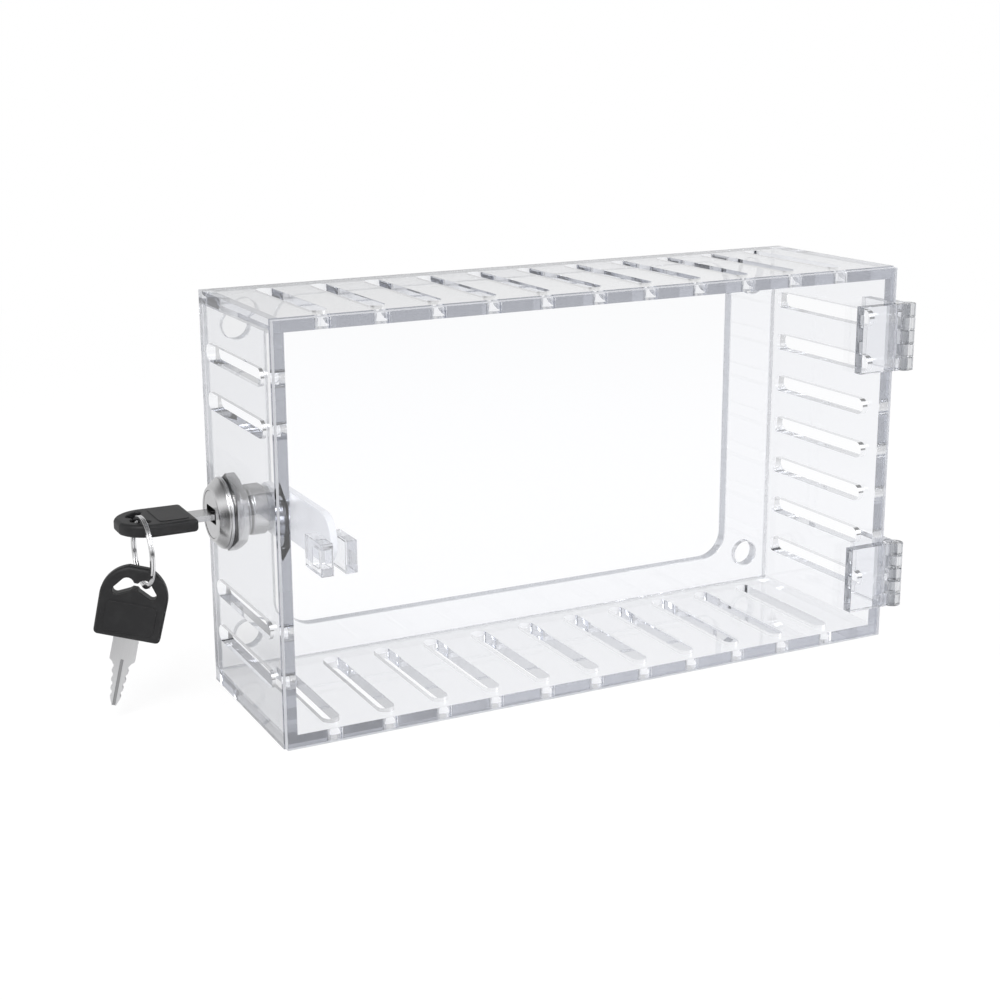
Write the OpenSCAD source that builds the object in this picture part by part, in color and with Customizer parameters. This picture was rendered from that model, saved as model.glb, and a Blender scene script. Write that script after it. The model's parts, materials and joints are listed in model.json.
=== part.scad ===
// Thermostat lock box: a clear case that screws to the wall over a thermostat,
// with a clear door on two hinges and a cam lock with two keys on a split ring.
// +X is to the right as seen from the room, +Y goes into the wall, +Z is up.
// The origin is on the wall, at the centre of the four wall screw holes.

/* [Case] */
// Width of the case over its side panels
case_w = 240; // [220:5:300]
// Height of the case over its top and bottom panels
case_h = 141; // [136:1:170]
// Depth of the case from the wall to the front edges of its panels
case_d = 70; // [66:1:90]
// Thickness of the case's clear sheet
panel_t = 4.5; // [4:0.25:5]

/* [Back panel] */
// Width of the rails beside the window of the back panel
side_rail_w = 21; // [18:0.5:26]
// Height of the rail under the window
lower_rail_h = 12.5; // [10:0.5:20]
// Height of the rail over the window
upper_rail_h = 3.5; // [3:0.5:8]
// Radius of the window's corners
window_r = 10; // [4:1:16]
// Diameter of the wall screw holes
wall_hole_d = 10; // [5:0.5:12]
// Height of the lower wall holes over the bottom panel
lower_hole_rise = 12; // [9:0.5:18]
// Distance of the upper wall holes under the top panel
upper_hole_drop = 8; // [7:0.5:18]

/* [Vents] */
// Width of each vent slot
vent_w = 6; // [4:0.5:8]
// Distance between the slots of the top and bottom panels
vent_pitch = 20; // [14:1:30]
// Distance between the slots of the side panels
side_vent_pitch = 16.75; // [14:0.25:20]
// Least width of sheet at the ends of a row of slots
vent_row_margin = 15; // [12:1:24]
// Sheet left in front of and behind the slots of the top and bottom
vent_end_margin = 7.5; // [6:0.5:14]
// Sheet left in front of the slots of the sides
side_vent_front = 9; // [7:0.5:16]
// Sheet left behind the slots of the sides
side_vent_back = 6; // [5.5:0.5:12]
// Least distance from the lock's axis to a slot of the left panel
vent_clear_of_lock = 25; // [20:1:30]

/* [Door] */
// Thickness of the door's clear sheet
door_t = 2.5; // [2:0.25:4]
// Gap between the closed door and the front edges of the case
door_gap = 0.2; // [0.2:0.1:0.6]
// How far the door's edges stay inside the outline of the case
door_inset = 0.3; // [0.2:0.1:0.6]

/* [Hinges] */
// Height of each hinge
hinge_h = 24.5; // [20:0.5:32]
// Distance of each hinge's middle from the nearer end of the case
hinge_margin = 25.3; // [18:0.1:32]
// Reach of each leaf from the hinge's axis
leaf_reach = 20.5; // [14:0.5:26]
// Thickness of the leaves
leaf_t = 4; // [3:0.25:5]
// Distance of the hinge's axis from the side panel's and the door's outer faces
axis_offset = 2.6; // [2.2:0.1:3.2]
// Diameter of the knuckles
knuckle_d = 6.4; // [5.6:0.1:6.6]
// Gap between neighbouring knuckles
knuckle_gap = 0.3; // [0.2:0.1:0.6]
// Diameter of the hinge pins
hinge_pin_d = 2.5; // [2:0.1:3]
// Radial play of the pins in the knuckles
hinge_pin_play = 0.06; // [0.03:0.01:0.1]

/* [Catch] */
// Thickness of the two cheeks that the cam passes between
cheek_t = 4.2; // [3:0.1:6]
// Depth of the cheeks behind the door
cheek_d = 14.4; // [11:0.2:20]
// Height of the cheeks
cheek_h = 11; // [10:0.5:16]
// Clear width between the cheeks
cheek_span = 4.1; // [3.8:0.1:5]
// Height of the cheeks' top over the lock's axis
cheek_rise = 1; // [0:0.25:2.5]
// Depth of the window in the outer cheek
cheek_window_d = 5.5; // [3:0.25:7]
// Height of the window in the outer cheek
cheek_window_h = 6.2; // [3:0.2:8]
// Sheet left between the door and that window
cheek_window_front = 2.1; // [1.5:0.1:4]

/* [Lock] */
// Distance of the lock's axis from the wall
lock_from_wall = 17; // [17:0.5:26]
// Height of the lock's axis over the underside of the case
lock_rise = 66.4; // [60:0.1:75]
// Diameter of the lock's flange
flange_d = 25; // [22:0.5:28]
// Diameter of the flange's front face
flange_front_d = 18.8; // [18:0.1:21]
// Depth of the flange on the outside of the panel
flange_l = 4.5; // [4:0.1:6]
// Depth of the flange's straight rim
flange_rim_l = 1.2; // [0.6:0.1:2]
// Diameter of the threaded body
housing_d = 18; // [17.4:0.1:19]
// Width of the body across its two flats
housing_flats = 16.4; // [16:0.1:17]
// Length of the body behind the outer face of the panel
housing_l = 17; // [16:0.25:22]
// Length of the smooth collar at the body's end
collar_l = 4.7; // [3:0.1:6]
// Distance between the thread's crests
thread_pitch = 1.5; // [1:0.25:2]
// Depth of the thread
thread_depth = 0.45; // [0.3:0.05:0.6]
// Width of the nut across its flats
nut_af = 24; // [22:0.5:27]
// Thickness of the nut
nut_t = 4; // [3:0.25:6]
// Radial play of the body in the panel's hole and in the nut
housing_play = 0.06; // [0.03:0.01:0.15]

/* [Plug] */
// Diameter of the plug's head
plug_head_d = 16.4; // [15:0.1:17]
// Thickness of the plug's head
plug_head_l = 2.6; // [2:0.1:3]
// How far the plug's head lies behind the flange's face
plug_recess = 0.2; // [0.1:0.1:0.6]
// Diameter of the plug's body
plug_d = 12; // [11.6:0.1:12.4]
// Radial play of the plug in the housing
plug_play = 0.08; // [0.04:0.01:0.1]
// End play of the plug
plug_end_play = 0.2; // [0.1:0.05:0.3]
// Width of the plug's square end
square_w = 8; // [7:0.1:8.2]
// Play of what sits on the square end
square_play = 0.05; // [0.03:0.01:0.1]
// Diameter of the stop washer
stop_washer_d = 16; // [15.6:0.1:17]
// Thickness of the stop washer
stop_washer_t = 1.7; // [1.2:0.1:2.4]
// Turn of the lock between its stops in degrees
lock_turn = 90; // [60:5:120]

/* [Wafers] */
// Number of wafers
wafer_count = 5; // [3:1:5]
// Distance between wafers
wafer_pitch = 2.4; // [2.2:0.05:2.5]
// Distance of the first wafer behind the outer face of the panel
wafer_first = 2.5; // [2.2:0.1:2.6]
// Thickness of a wafer
wafer_t = 0.9; // [0.6:0.1:1]
// Height of a wafer
wafer_h = 7; // [6:0.1:7.2]
// Play of the wafers in the plug
wafer_play = 0.05; // [0.03:0.01:0.08]
// Outer diameter of a wafer's spring
spring_d = 1.3; // [1:0.1:1.4]
// Length of a wafer's spring
spring_l = 2.5; // [2:0.1:2.6]

/* [Cam] */
// Width of the cam
cam_w = 17.5; // [14:0.5:18]
// Thickness of the cam
cam_t = 2.5; // [1.5:0.1:3]
// Gap between the cam's tip and the front edges of the case
cam_tip_gap = 2.5; // [1.5:0.25:5]
// Gap between the cam and the outer cheek
cam_side_gap = 0.3; // [0.2:0.05:0.5]
// Diameter of the cam screw's washer
cam_washer_d = 12; // [9:0.5:14]
// Thickness of the cam screw's washer
cam_washer_t = 1; // [0.6:0.1:1.6]
// Diameter of the cam screw's thread
cam_screw_d = 4; // [3:0.25:4.25]
// Diameter of the cam screw's head
cam_screw_head_d = 7.5; // [6:0.25:9]
// Height of the cam screw's head
cam_screw_head_l = 3; // [2:0.1:3.4]
// Length of the cam screw under its head
cam_screw_l = 5.4; // [4:0.1:5.6]

/* [Keys] */
// Distance of the key's head from the outer face of the panel
key_standoff = 12; // [9:0.5:13]
// Thickness of the key's blade
blade_t = 2; // [1.6:0.1:2.2]
// Length of the blade outside the key's head
blade_l = 24.5; // [22:0.25:25]
// Length of the blade's wide neck
neck_l = 9; // [8:0.25:10]
// Width of the blade's neck
neck_w = 8.5; // [7:0.1:9]
// Width of the cut part of the blade
blade_w = 6.2; // [5.6:0.1:6.4]
// How far each edge of the cut part closes in towards the tip
blade_taper = 1.3; // [0.4:0.1:1.6]
// Width of the blade's tip
tip_w = 1.4; // [1.2:0.1:1.8]
// Length of the blade's tip
tip_l = 3; // [2:0.25:4]
// Depth of the cuts in the blade's edges
bitting_d = 0.5; // [0.2:0.05:0.6]
// Depth of the groove in each face of the blade
groove_d = 0.4; // [0.2:0.05:0.5]
// Width of the groove in each face of the blade
groove_w = 1; // [0.8:0.1:1.2]
// Distance of the groove's start from the key's head
groove_from = 7.7; // [6:0.1:9]
// Play of the blade in the keyway on each side
keyway_play = 0.15; // [0.1:0.01:0.2]
// Radius of the key's round head
head_r = 11.4; // [11:0.1:12.5]
// Height of the head's flat top over the head's lower edge
head_l = 25.3; // [24.8:0.1:25.7]
// Width of the head's lower edge
head_base_w = 22.4; // [20:0.2:22.8]
// Thickness of the key's head
head_t = 4.4; // [4:0.1:5]
// Height of the raised field on both faces of the head
field_t = 0.25; // [0.1:0.05:0.4]
// Width of the raised field
field_w = 17; // [14:0.5:18]
// Length of the raised field
field_l = 10.5; // [8:0.5:11]
// Distance of the raised field from the head's lower edge
field_from = 2.2; // [1.5:0.1:3]
// Radius of the raised field's corners
field_r = 1.6; // [0.8:0.1:2.4]
// Length of the blade held inside the head
tang_l = 9; // [5:0.5:11]

/* [Key ring] */
// Outer diameter of the split ring
ring_d = 24.6; // [24.2:0.1:25]
// Radial width of the ring's wire
ring_wire_w = 1.7; // [1.2:0.1:1.8]
// Thickness of each of the ring's two turns
ring_turn_t = 0.72; // [0.5:0.02:0.76]
// Gap between the ring's two turns
ring_turn_gap = 0.06; // [0.04:0.01:0.1]
// Lean of the hanging spare key in degrees
spare_lean = 13; // [8:1:16]
// Turn of the hanging spare key about the vertical in degrees
spare_yaw = -22; // [-24:1:-5]

/* [Hidden] */
$fn = 96;

// What a cut reaches past the face that it opens
through = 1;

// Heights of the case's faces over the origin
floor_z = -(lower_hole_rise + case_h - upper_hole_drop) / 2;
top_z = floor_z + case_h;
inside_low_z = floor_z + panel_t;
inside_high_z = top_z - panel_t;
middle_z = (floor_z + top_z) / 2;
inside_w = case_w - 2 * panel_t;
window_w = inside_w - 2 * side_rail_w;
window_h = inside_high_z - inside_low_z - lower_rail_h - upper_rail_h;
window_z = inside_low_z + lower_rail_h + window_h / 2;
wall_hole_x = (inside_w - side_rail_w) / 2;

// Faces of the door
door_back_y = -case_d - door_gap;
door_front_y = door_back_y - door_t;
door_w = case_w - 2 * door_inset;
door_h = case_h - 2 * door_inset;

// Places of the hinges
hinge_x = case_w / 2 + axis_offset;
hinge_y = door_front_y - axis_offset;
upper_hinge_z = top_z - hinge_margin;
lower_hinge_z = floor_z + hinge_margin;
knuckle_count = 5;
knuckle_h = (hinge_h - (knuckle_count - 1) * knuckle_gap) / knuckle_count;
leaf_cutback = knuckle_d / 2 + knuckle_gap;
side_knuckles = [0, 2, 4];
door_knuckles = [1, 3];

// Places along the lock's axis, from the outer face of the left panel inwards
lock_y = -lock_from_wall;
lock_z = floor_z + lock_rise;
plug_face = -flange_l + plug_recess;
plug_shoulder = plug_face + plug_head_l;
counterbore_end = plug_shoulder + plug_end_play / 2;
plug_end = housing_l + plug_end_play;
cam_from = plug_end + stop_washer_t;
cam_to = cam_from + cam_t;
square_end = cam_to - plug_end_play;
cam_reach = case_d - lock_from_wall - cam_tip_gap - cam_w / 2;
screw_seat = cam_to + cam_washer_t;
screw_bore_end = screw_seat - cam_screw_l - plug_end_play;
nut_chamfer = 0.8;

// Places of the catch's cheeks, on both sides of the cam
outer_cheek_x = -case_w / 2 + cam_from - cam_side_gap - cheek_t;
inner_cheek_x = outer_cheek_x + cheek_t + cheek_span;
cheek_low_z = lock_z + cheek_rise - cheek_h;

// Channels of the housing that the wafers enter when the key is out
channel_depth = 1.3;
channel_side_play = 0.2;
channel_r = plug_d / 2 + channel_depth;
channel_h = wafer_h + 2 * channel_side_play;
channel_from = wafer_first - wafer_pitch / 2;
channel_to = wafer_first + (wafer_count - 0.5) * wafer_pitch;

// Stop on the housing's end, in the notch of the stop washer
stop_w = 2.4;
stop_depth = 1.1;
stop_setback = 0.8;
stop_play = 0.2;
stop_inner_r = plug_d / 2 + stop_setback;
stop_outer_r = stop_inner_r + stop_depth;
stop_l = plug_end_play + stop_washer_t - stop_play;
notch_r = stop_inner_r - stop_play;
notch_end_play = 2;
notch_margin = asin(stop_w / 2 / stop_inner_r) + notch_end_play;

// Wafers, their lugs and their springs
lug_h = 1.4;
lug_w = 1.1;
wafer_setback = 0.15;
wafer_r = plug_d / 2 - wafer_setback;
opening_play = 0.1;
spring_wall = 0.3;
spring_play = 0.05;
spring_z = wafer_h / 2 + wafer_play + spring_d / 2 + spring_play;
pocket_d = spring_d + 2 * (wafer_play + spring_play);
pocket_l = spring_l + wafer_play;

// Cross recess and rounded rim of the cam screw's head
cross_w = 1;
cross_l = 4.5;
cross_d = 1.4;
screw_rim_r = 1.5;

// Outline of the key's head and of its slot for the ring
head_centre_v = 14.36;
lobe_inner = [2.9, 19.05];
lobe_inner_r = 2.3;
lobe_outer = [6, 16.5];
lobe_outer_r = 1.4;
ring_v = 18.85;
ring_clearance = 0.25;
ring_t = 2 * ring_turn_t + ring_turn_gap;
slot_neck_h = ring_t + 2 * ring_clearance;
cut_count = 4;
neck_step_l = 1;
key_tip_room = 0.5;
keyway_end = -key_standoff + blade_l + key_tip_room;

// The ring hangs over the head's rim, between the slot and the near edge
rim_middle_u = 7.9;
ring_drop = 7.5;
ring_step_w = 3;
ring_mean_r = ring_d / 2 - ring_wire_w / 2;
ring_x = -case_w / 2 - key_standoff - ring_v;
ring_y = lock_y - rim_middle_u;
ring_z = lock_z - ring_drop;
spare_grip = [2.8, 19.25];

// Colours of the clear sheet, of the metal and of the keys' heads
clear_tone = [0.86, 0.88, 0.92, 0.45];
chrome_tone = [0.78, 0.79, 0.81];
steel_tone = [0.7, 0.71, 0.73];
brass_tone = [0.78, 0.63, 0.32];
black_tone = [0.12, 0.12, 0.13];

module slot_outline(length, width) {
    straight = length - width;
    square([straight, width], center = true);
    for (side = [-1, 1])
        translate([side * straight / 2, 0]) circle(d = width);
}

module rounded_outline(width, height, radius) {
    square([width - 2 * radius, height], center = true);
    square([width, height - 2 * radius], center = true);
    for (sx = [-1, 1], sz = [-1, 1])
        translate([sx * (width / 2 - radius), sz * (height / 2 - radius)]) circle(r = radius);
}

function slots_that_fit(space, pitch) =
    floor((space - 2 * vent_row_margin - vent_w) / pitch) + 1;

// Sheet parallel to the ground with its row of slots across the width
module vented_level_sheet() {
    count = slots_that_fit(case_w, vent_pitch);
    linear_extrude(panel_t)
        difference() {
            translate([-case_w / 2, -case_d]) square([case_w, case_d]);
            for (i = [0 : count - 1])
                translate([(i - (count - 1) / 2) * vent_pitch, -case_d / 2])
                    rotate(90) slot_outline(case_d - 2 * vent_end_margin, vent_w);
        }
}

// Side sheet drawn with depth along x and height along y
module side_outline(keep_clear_z, keep_clear) {
    count = slots_that_fit(case_h, side_vent_pitch);
    slot_l = case_d - side_vent_front - side_vent_back;
    slot_y = -case_d + side_vent_front + slot_l / 2;
    difference() {
        translate([-case_d, inside_low_z]) square([case_d, inside_high_z - inside_low_z]);
        for (i = [0 : count - 1]) {
            slot_z = middle_z + (i - (count - 1) / 2) * side_vent_pitch;
            if (abs(slot_z - keep_clear_z) >= keep_clear)
                translate([slot_y, slot_z]) slot_outline(slot_l, vent_w);
        }
    }
}

module stand_sideways() {
    rotate([90, 0, 90]) children();
}

// Puts a shape drawn along z on the lock's axis, from the panel's outer face inwards
module on_lock_axis(from = 0) {
    translate([-case_w / 2, lock_y, lock_z])
        rotate([0, 90, 0]) translate([0, 0, from]) children();
}

module back_panel() {
    color(clear_tone) rotate([90, 0, 0]) linear_extrude(panel_t)
        difference() {
            translate([-inside_w / 2, inside_low_z]) square([inside_w, inside_high_z - inside_low_z]);
            translate([0, window_z]) rounded_outline(window_w, window_h, window_r);
            for (sx = [-1, 1], z = [inside_low_z + lower_hole_rise, inside_high_z - upper_hole_drop])
                translate([sx * wall_hole_x, z]) circle(d = wall_hole_d);
        }
}

module top_panel() {
    color(clear_tone) translate([0, 0, inside_high_z]) vented_level_sheet();
}

module bottom_panel() {
    color(clear_tone) translate([0, 0, floor_z]) vented_level_sheet();
}

module housing_section(play = 0) {
    intersection() {
        circle(d = housing_d + 2 * play);
        square([housing_flats + 2 * play, housing_d + 4 * play], center = true);
    }
}

module left_panel() {
    color(clear_tone) difference() {
        translate([-case_w / 2, 0, 0]) stand_sideways()
            linear_extrude(panel_t) side_outline(lock_z, vent_clear_of_lock);
        on_lock_axis(-through) linear_extrude(panel_t + 2 * through) housing_section(housing_play);
    }
}

module right_panel() {
    color(clear_tone) translate([case_w / 2 - panel_t, 0, 0]) stand_sideways()
        linear_extrude(panel_t) side_outline(middle_z, 0);
}

function knuckle_low(i) = -hinge_h / 2 + i * (knuckle_h + knuckle_gap);

module knuckles(rows) {
    for (i = rows)
        translate([0, 0, knuckle_low(i)]) cylinder(d = knuckle_d, h = knuckle_h);
}

// Room in a leaf for the other leaf's knuckles
module knuckle_room(rows) {
    for (i = rows)
        translate([-leaf_cutback, -leaf_cutback, knuckle_low(i) - knuckle_gap])
            cube([2 * leaf_cutback, 2 * leaf_cutback, knuckle_h + 2 * knuckle_gap]);
}

module hinge_bore() {
    cylinder(d = hinge_pin_d + 2 * hinge_pin_play, h = hinge_h + 2 * through, center = true);
}

module side_leaf() {
    color(clear_tone) difference() {
        union() {
            difference() {
                translate([-axis_offset, 0, -hinge_h / 2]) cube([leaf_t, leaf_reach, hinge_h]);
                knuckle_room(door_knuckles);
            }
            knuckles(side_knuckles);
        }
        hinge_bore();
    }
}

module door_leaf() {
    color(clear_tone) difference() {
        union() {
            difference() {
                translate([-leaf_reach, axis_offset - leaf_t, -hinge_h / 2])
                    cube([leaf_reach, leaf_t, hinge_h]);
                knuckle_room(side_knuckles);
            }
            knuckles(door_knuckles);
        }
        hinge_bore();
    }
}

module hinge_pin() {
    color(clear_tone) cylinder(d = hinge_pin_d, h = hinge_h, center = true);
}

module at_hinge(z) {
    translate([hinge_x, hinge_y, z]) children();
}

module upper_hinge_side_leaf() { at_hinge(upper_hinge_z) side_leaf(); }
module lower_hinge_side_leaf() { at_hinge(lower_hinge_z) side_leaf(); }
module upper_hinge_door_leaf() { at_hinge(upper_hinge_z) door_leaf(); }
module lower_hinge_door_leaf() { at_hinge(lower_hinge_z) door_leaf(); }
module upper_hinge_pin() { at_hinge(upper_hinge_z) hinge_pin(); }
module lower_hinge_pin() { at_hinge(lower_hinge_z) hinge_pin(); }

module door_panel() {
    color(clear_tone) translate([-door_w / 2, door_front_y, floor_z + door_inset])
        cube([door_w, door_t, door_h]);
}

module cheek_at(x) {
    translate([x, door_back_y, cheek_low_z]) cube([cheek_t, cheek_d, cheek_h]);
}

module catch_outer_cheek() {
    opening_z = cheek_low_z + (cheek_h - cheek_window_h) / 2;
    color(clear_tone) difference() {
        cheek_at(outer_cheek_x);
        translate([outer_cheek_x - through, door_back_y + cheek_window_front, opening_z])
            cube([cheek_t + 2 * through, cheek_window_d, cheek_window_h]);
    }
}

module catch_inner_cheek() {
    color(clear_tone) cheek_at(inner_cheek_x);
}

// Half section of the threaded body with a ring for each crest
module threaded_profile() {
    crest_r = housing_d / 2;
    root_r = crest_r - thread_depth;
    thread_from = panel_t + nut_t;
    thread_to = housing_l - collar_l;
    crests = floor((thread_to - thread_from) / thread_pitch);
    crest_points = [
        for (i = [0 : crests - 1], step = [[0, crest_r], [0.5, root_r]])
            [step[1], thread_from + (i + step[0]) * thread_pitch]
    ];
    polygon(concat(
        [[0, -through / 2], [crest_r, -through / 2]],
        crest_points,
        [[crest_r, thread_from + crests * thread_pitch], [crest_r, housing_l], [0, housing_l]]
    ));
}

module flange_profile() {
    polygon([
        [0, -flange_l], [flange_front_d / 2, -flange_l],
        [flange_d / 2, -flange_rim_l], [flange_d / 2, 0], [0, 0]
    ]);
}

module lock_housing() {
    color(chrome_tone) on_lock_axis() difference() {
        union() {
            rotate_extrude() flange_profile();
            intersection() {
                rotate_extrude() threaded_profile();
                translate([-housing_flats / 2, -housing_d, -through])
                    cube([housing_flats, 2 * housing_d, housing_l + 2 * through]);
            }
            translate([stop_inner_r, -stop_w / 2, housing_l - through])
                cube([stop_outer_r - stop_inner_r, stop_w, stop_l + through]);
        }
        translate([0, 0, -flange_l - through])
            cylinder(d = plug_d + 2 * plug_play, h = flange_l + housing_l + 2 * through);
        translate([0, 0, -flange_l - through])
            cylinder(d = plug_head_d + 2 * plug_play, h = counterbore_end + flange_l + through);
        translate([-channel_h / 2, -channel_r, channel_from])
            cube([channel_h, 2 * channel_r, channel_to - channel_from]);
    }
}

module lock_nut() {
    corner_d = nut_af / cos(30);
    color(chrome_tone) on_lock_axis(panel_t) difference() {
        intersection() {
            cylinder(d = corner_d, h = nut_t, $fn = 6);
            rotate_extrude() polygon([
                [0, 0], [corner_d / 2, 0], [corner_d / 2, nut_t - nut_chamfer],
                [corner_d / 2 - 2 * nut_chamfer, nut_t], [0, nut_t]
            ]);
        }
        translate([0, 0, -through])
            cylinder(d = housing_d + 2 * housing_play, h = nut_t + 2 * through);
    }
}

function wafer_place(i) = wafer_first + i * wafer_pitch;

// Everything that a wafer and its spring need cut from the plug
module wafer_room() {
    slot_t = wafer_t + 2 * wafer_play;
    translate([-wafer_h / 2 - wafer_play, -plug_d, -slot_t / 2])
        cube([wafer_h + 2 * wafer_play, 2 * plug_d, slot_t]);
    translate([-wafer_h / 2 - lug_h - wafer_play, -lug_w - 2 * wafer_play, -slot_t / 2])
        cube([lug_h + 2 * wafer_play, lug_w + 2 * wafer_play, slot_t]);
    translate([-spring_z, 0, 0]) rotate([-90, 0, 0]) cylinder(d = pocket_d, h = pocket_l);
}

module lock_plug() {
    neck_end = -key_standoff + neck_l + keyway_play;
    color(chrome_tone) on_lock_axis() difference() {
        union() {
            translate([0, 0, plug_face]) cylinder(d = plug_head_d, h = plug_head_l);
            translate([0, 0, plug_face]) cylinder(d = plug_d, h = plug_end - plug_face);
            translate([-square_w / 2, -square_w / 2, plug_end - through])
                cube([square_w, square_w, square_end - plug_end + through]);
        }
        translate([-blade_t / 2 - keyway_play, -neck_w / 2 - keyway_play, plug_face - through])
            cube([blade_t + 2 * keyway_play, neck_w + 2 * keyway_play, neck_end - plug_face + through]);
        translate([-blade_t / 2 - keyway_play, -blade_w / 2 - keyway_play, plug_face - through])
            cube([blade_t + 2 * keyway_play, blade_w + 2 * keyway_play, keyway_end - plug_face + through]);
        for (i = [0 : wafer_count - 1])
            translate([0, 0, wafer_place(i)]) wafer_room();
        translate([0, 0, screw_bore_end]) cylinder(d = cam_screw_d + 2 * square_play, h = square_end);
    }
}

module wafer() {
    opening_h = blade_t + 2 * (keyway_play + opening_play);
    opening_w = blade_w + 2 * (keyway_play + opening_play);
    difference() {
        union() {
            intersection() {
                cylinder(r = wafer_r, h = wafer_t, center = true);
                cube([wafer_h, plug_d, wafer_t], center = true);
            }
            translate([-wafer_h / 2 - lug_h, -lug_w - wafer_play, -wafer_t / 2])
                cube([lug_h + wafer_play, lug_w, wafer_t]);
        }
        cube([opening_h, opening_w, 2 * wafer_t], center = true);
    }
}

module lock_wafers() {
    color(brass_tone) on_lock_axis()
        for (i = [0 : wafer_count - 1])
            translate([0, 0, wafer_place(i)]) wafer();
}

module wafer_springs() {
    color(steel_tone) on_lock_axis()
        for (i = [0 : wafer_count - 1])
            translate([-spring_z, 0, wafer_place(i)]) rotate([-90, 0, 0]) difference() {
                cylinder(d = spring_d, h = spring_l);
                translate([0, 0, -through])
                    cylinder(d = spring_d - 2 * spring_wall, h = spring_l + 2 * through);
            }
}

module square_hole(height) {
    hole_w = square_w + 2 * square_play;
    translate([-hole_w / 2, -hole_w / 2, -through]) cube([hole_w, hole_w, height + 2 * through]);
}

function turned(radius, angle) = [radius * cos(angle), radius * sin(angle)];

module stop_washer() {
    reach = stop_washer_d;
    color(steel_tone) on_lock_axis(plug_end) difference() {
        cylinder(d = stop_washer_d, h = stop_washer_t);
        square_hole(stop_washer_t);
        translate([0, 0, -through]) linear_extrude(stop_washer_t + 2 * through) difference() {
            polygon([
                [0, 0], turned(reach, -notch_margin), turned(reach, lock_turn / 2),
                turned(reach, lock_turn + notch_margin)
            ]);
            circle(r = notch_r);
        }
    }
}

module cam() {
    color(clear_tone) on_lock_axis(cam_from) difference() {
        linear_extrude(cam_t) translate([0, -cam_reach / 2]) rotate(90)
            slot_outline(cam_reach + cam_w, cam_w);
        square_hole(cam_t);
    }
}

module cam_washer() {
    color(steel_tone) on_lock_axis(cam_to) difference() {
        cylinder(d = cam_washer_d, h = cam_washer_t);
        translate([0, 0, -through])
            cylinder(d = cam_screw_d + 2 * square_play, h = cam_washer_t + 2 * through);
    }
}

module cam_screw() {
    rim_centre = [cam_screw_head_d / 2 - screw_rim_r, cam_screw_head_l - screw_rim_r];
    color(steel_tone) on_lock_axis(screw_seat) difference() {
        union() {
            rotate_extrude() polygon(concat(
                [[0, 0], [cam_screw_head_d / 2, 0]],
                [for (angle = [0 : 15 : 90]) rim_centre + turned(screw_rim_r, angle)],
                [[0, cam_screw_head_l]]
            ));
            translate([0, 0, -cam_screw_l]) cylinder(d = cam_screw_d, h = cam_screw_l + through);
        }
        for (turn = [0, 90])
            rotate(turn) translate([-cross_l / 2, -cross_w / 2, cam_screw_head_l - cross_d])
                cube([cross_l, cross_w, cross_d + through]);
    }
}

// Places a key drawn with its head up, at y over 0, and its blade down, in the lock
module in_lock() {
    translate([-case_w / 2 - key_standoff, lock_y, lock_z]) rotate(90) children();
}

// Hangs a key from the lowest point of the ring
module on_ring() {
    translate([ring_x, ring_y, ring_z - ring_mean_r])
        rotate([0, 0, spare_yaw]) rotate([90, 0, 0]) rotate(-spare_lean)
            translate([-spare_grip[0], -spare_grip[1], 0]) children();
}

module blade_outline() {
    cut_zone = blade_l - neck_l - tip_l;
    cut_pitch = cut_zone / cut_count;
    tip_from_w = blade_w - 2 * blade_taper;
    edge = [
        for (i = [0 : cut_count - 1], step = [[0.1, 0], [0.35, 1], [0.65, 1], [0.9, 0]])
            let (along = i + step[0])
                [blade_w / 2 - blade_taper * along / cut_count - step[1] * bitting_d, -neck_l - along * cut_pitch]
    ];
    other_edge = [for (i = [len(edge) - 1 : -1 : 0]) [-edge[i][0], edge[i][1]]];
    polygon(concat(
        [[-neck_w / 2, 0], [neck_w / 2, 0], [neck_w / 2, -neck_l + neck_step_l], [blade_w / 2, -neck_l]],
        edge,
        [[tip_from_w / 2, -blade_l + tip_l], [tip_w / 2, -blade_l]],
        [[-tip_w / 2, -blade_l], [-tip_from_w / 2, -blade_l + tip_l]],
        other_edge,
        [[-blade_w / 2, -neck_l], [-neck_w / 2, -neck_l + neck_step_l]]
    ));
}

module blade_tang() {
    translate([-blade_w / 2, 0, -blade_t / 2]) cube([blade_w, tang_l, blade_t]);
}

module blade() {
    color(chrome_tone) difference() {
        union() {
            translate([0, 0, -blade_t / 2]) linear_extrude(blade_t) blade_outline();
            blade_tang();
        }
        for (side = [-1, 1])
            translate([-groove_w / 2, -blade_l - through, side * blade_t / 2 - groove_d])
                cube([groove_w, blade_l - groove_from + through, 2 * groove_d]);
    }
}

// Two round ends of different radius, with straight sides that touch both
module tapered_lobe(from, from_r, to, to_r) {
    along = to - from;
    heading = atan2(along[1], along[0]);
    touch = acos((from_r - to_r) / norm(along));
    translate(from) circle(r = from_r);
    translate(to) circle(r = to_r);
    polygon([
        from + turned(from_r, heading + touch), to + turned(to_r, heading + touch),
        to + turned(to_r, heading - touch), from + turned(from_r, heading - touch)
    ]);
}

module head_outline() {
    difference() {
        union() {
            intersection() {
                translate([0, head_centre_v]) circle(r = head_r);
                translate([-head_r, head_centre_v]) square([2 * head_r, head_l - head_centre_v]);
            }
            polygon([
                [-head_base_w / 2, 0], [head_base_w / 2, 0],
                [head_r, head_centre_v], [-head_r, head_centre_v]
            ]);
        }
        for (side = [-1, 1])
            tapered_lobe([side * lobe_inner[0], lobe_inner[1]], lobe_inner_r,
                [side * lobe_outer[0], lobe_outer[1]], lobe_outer_r);
        translate([-lobe_inner[0], ring_v - slot_neck_h / 2]) square([2 * lobe_inner[0], slot_neck_h]);
    }
}

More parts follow.
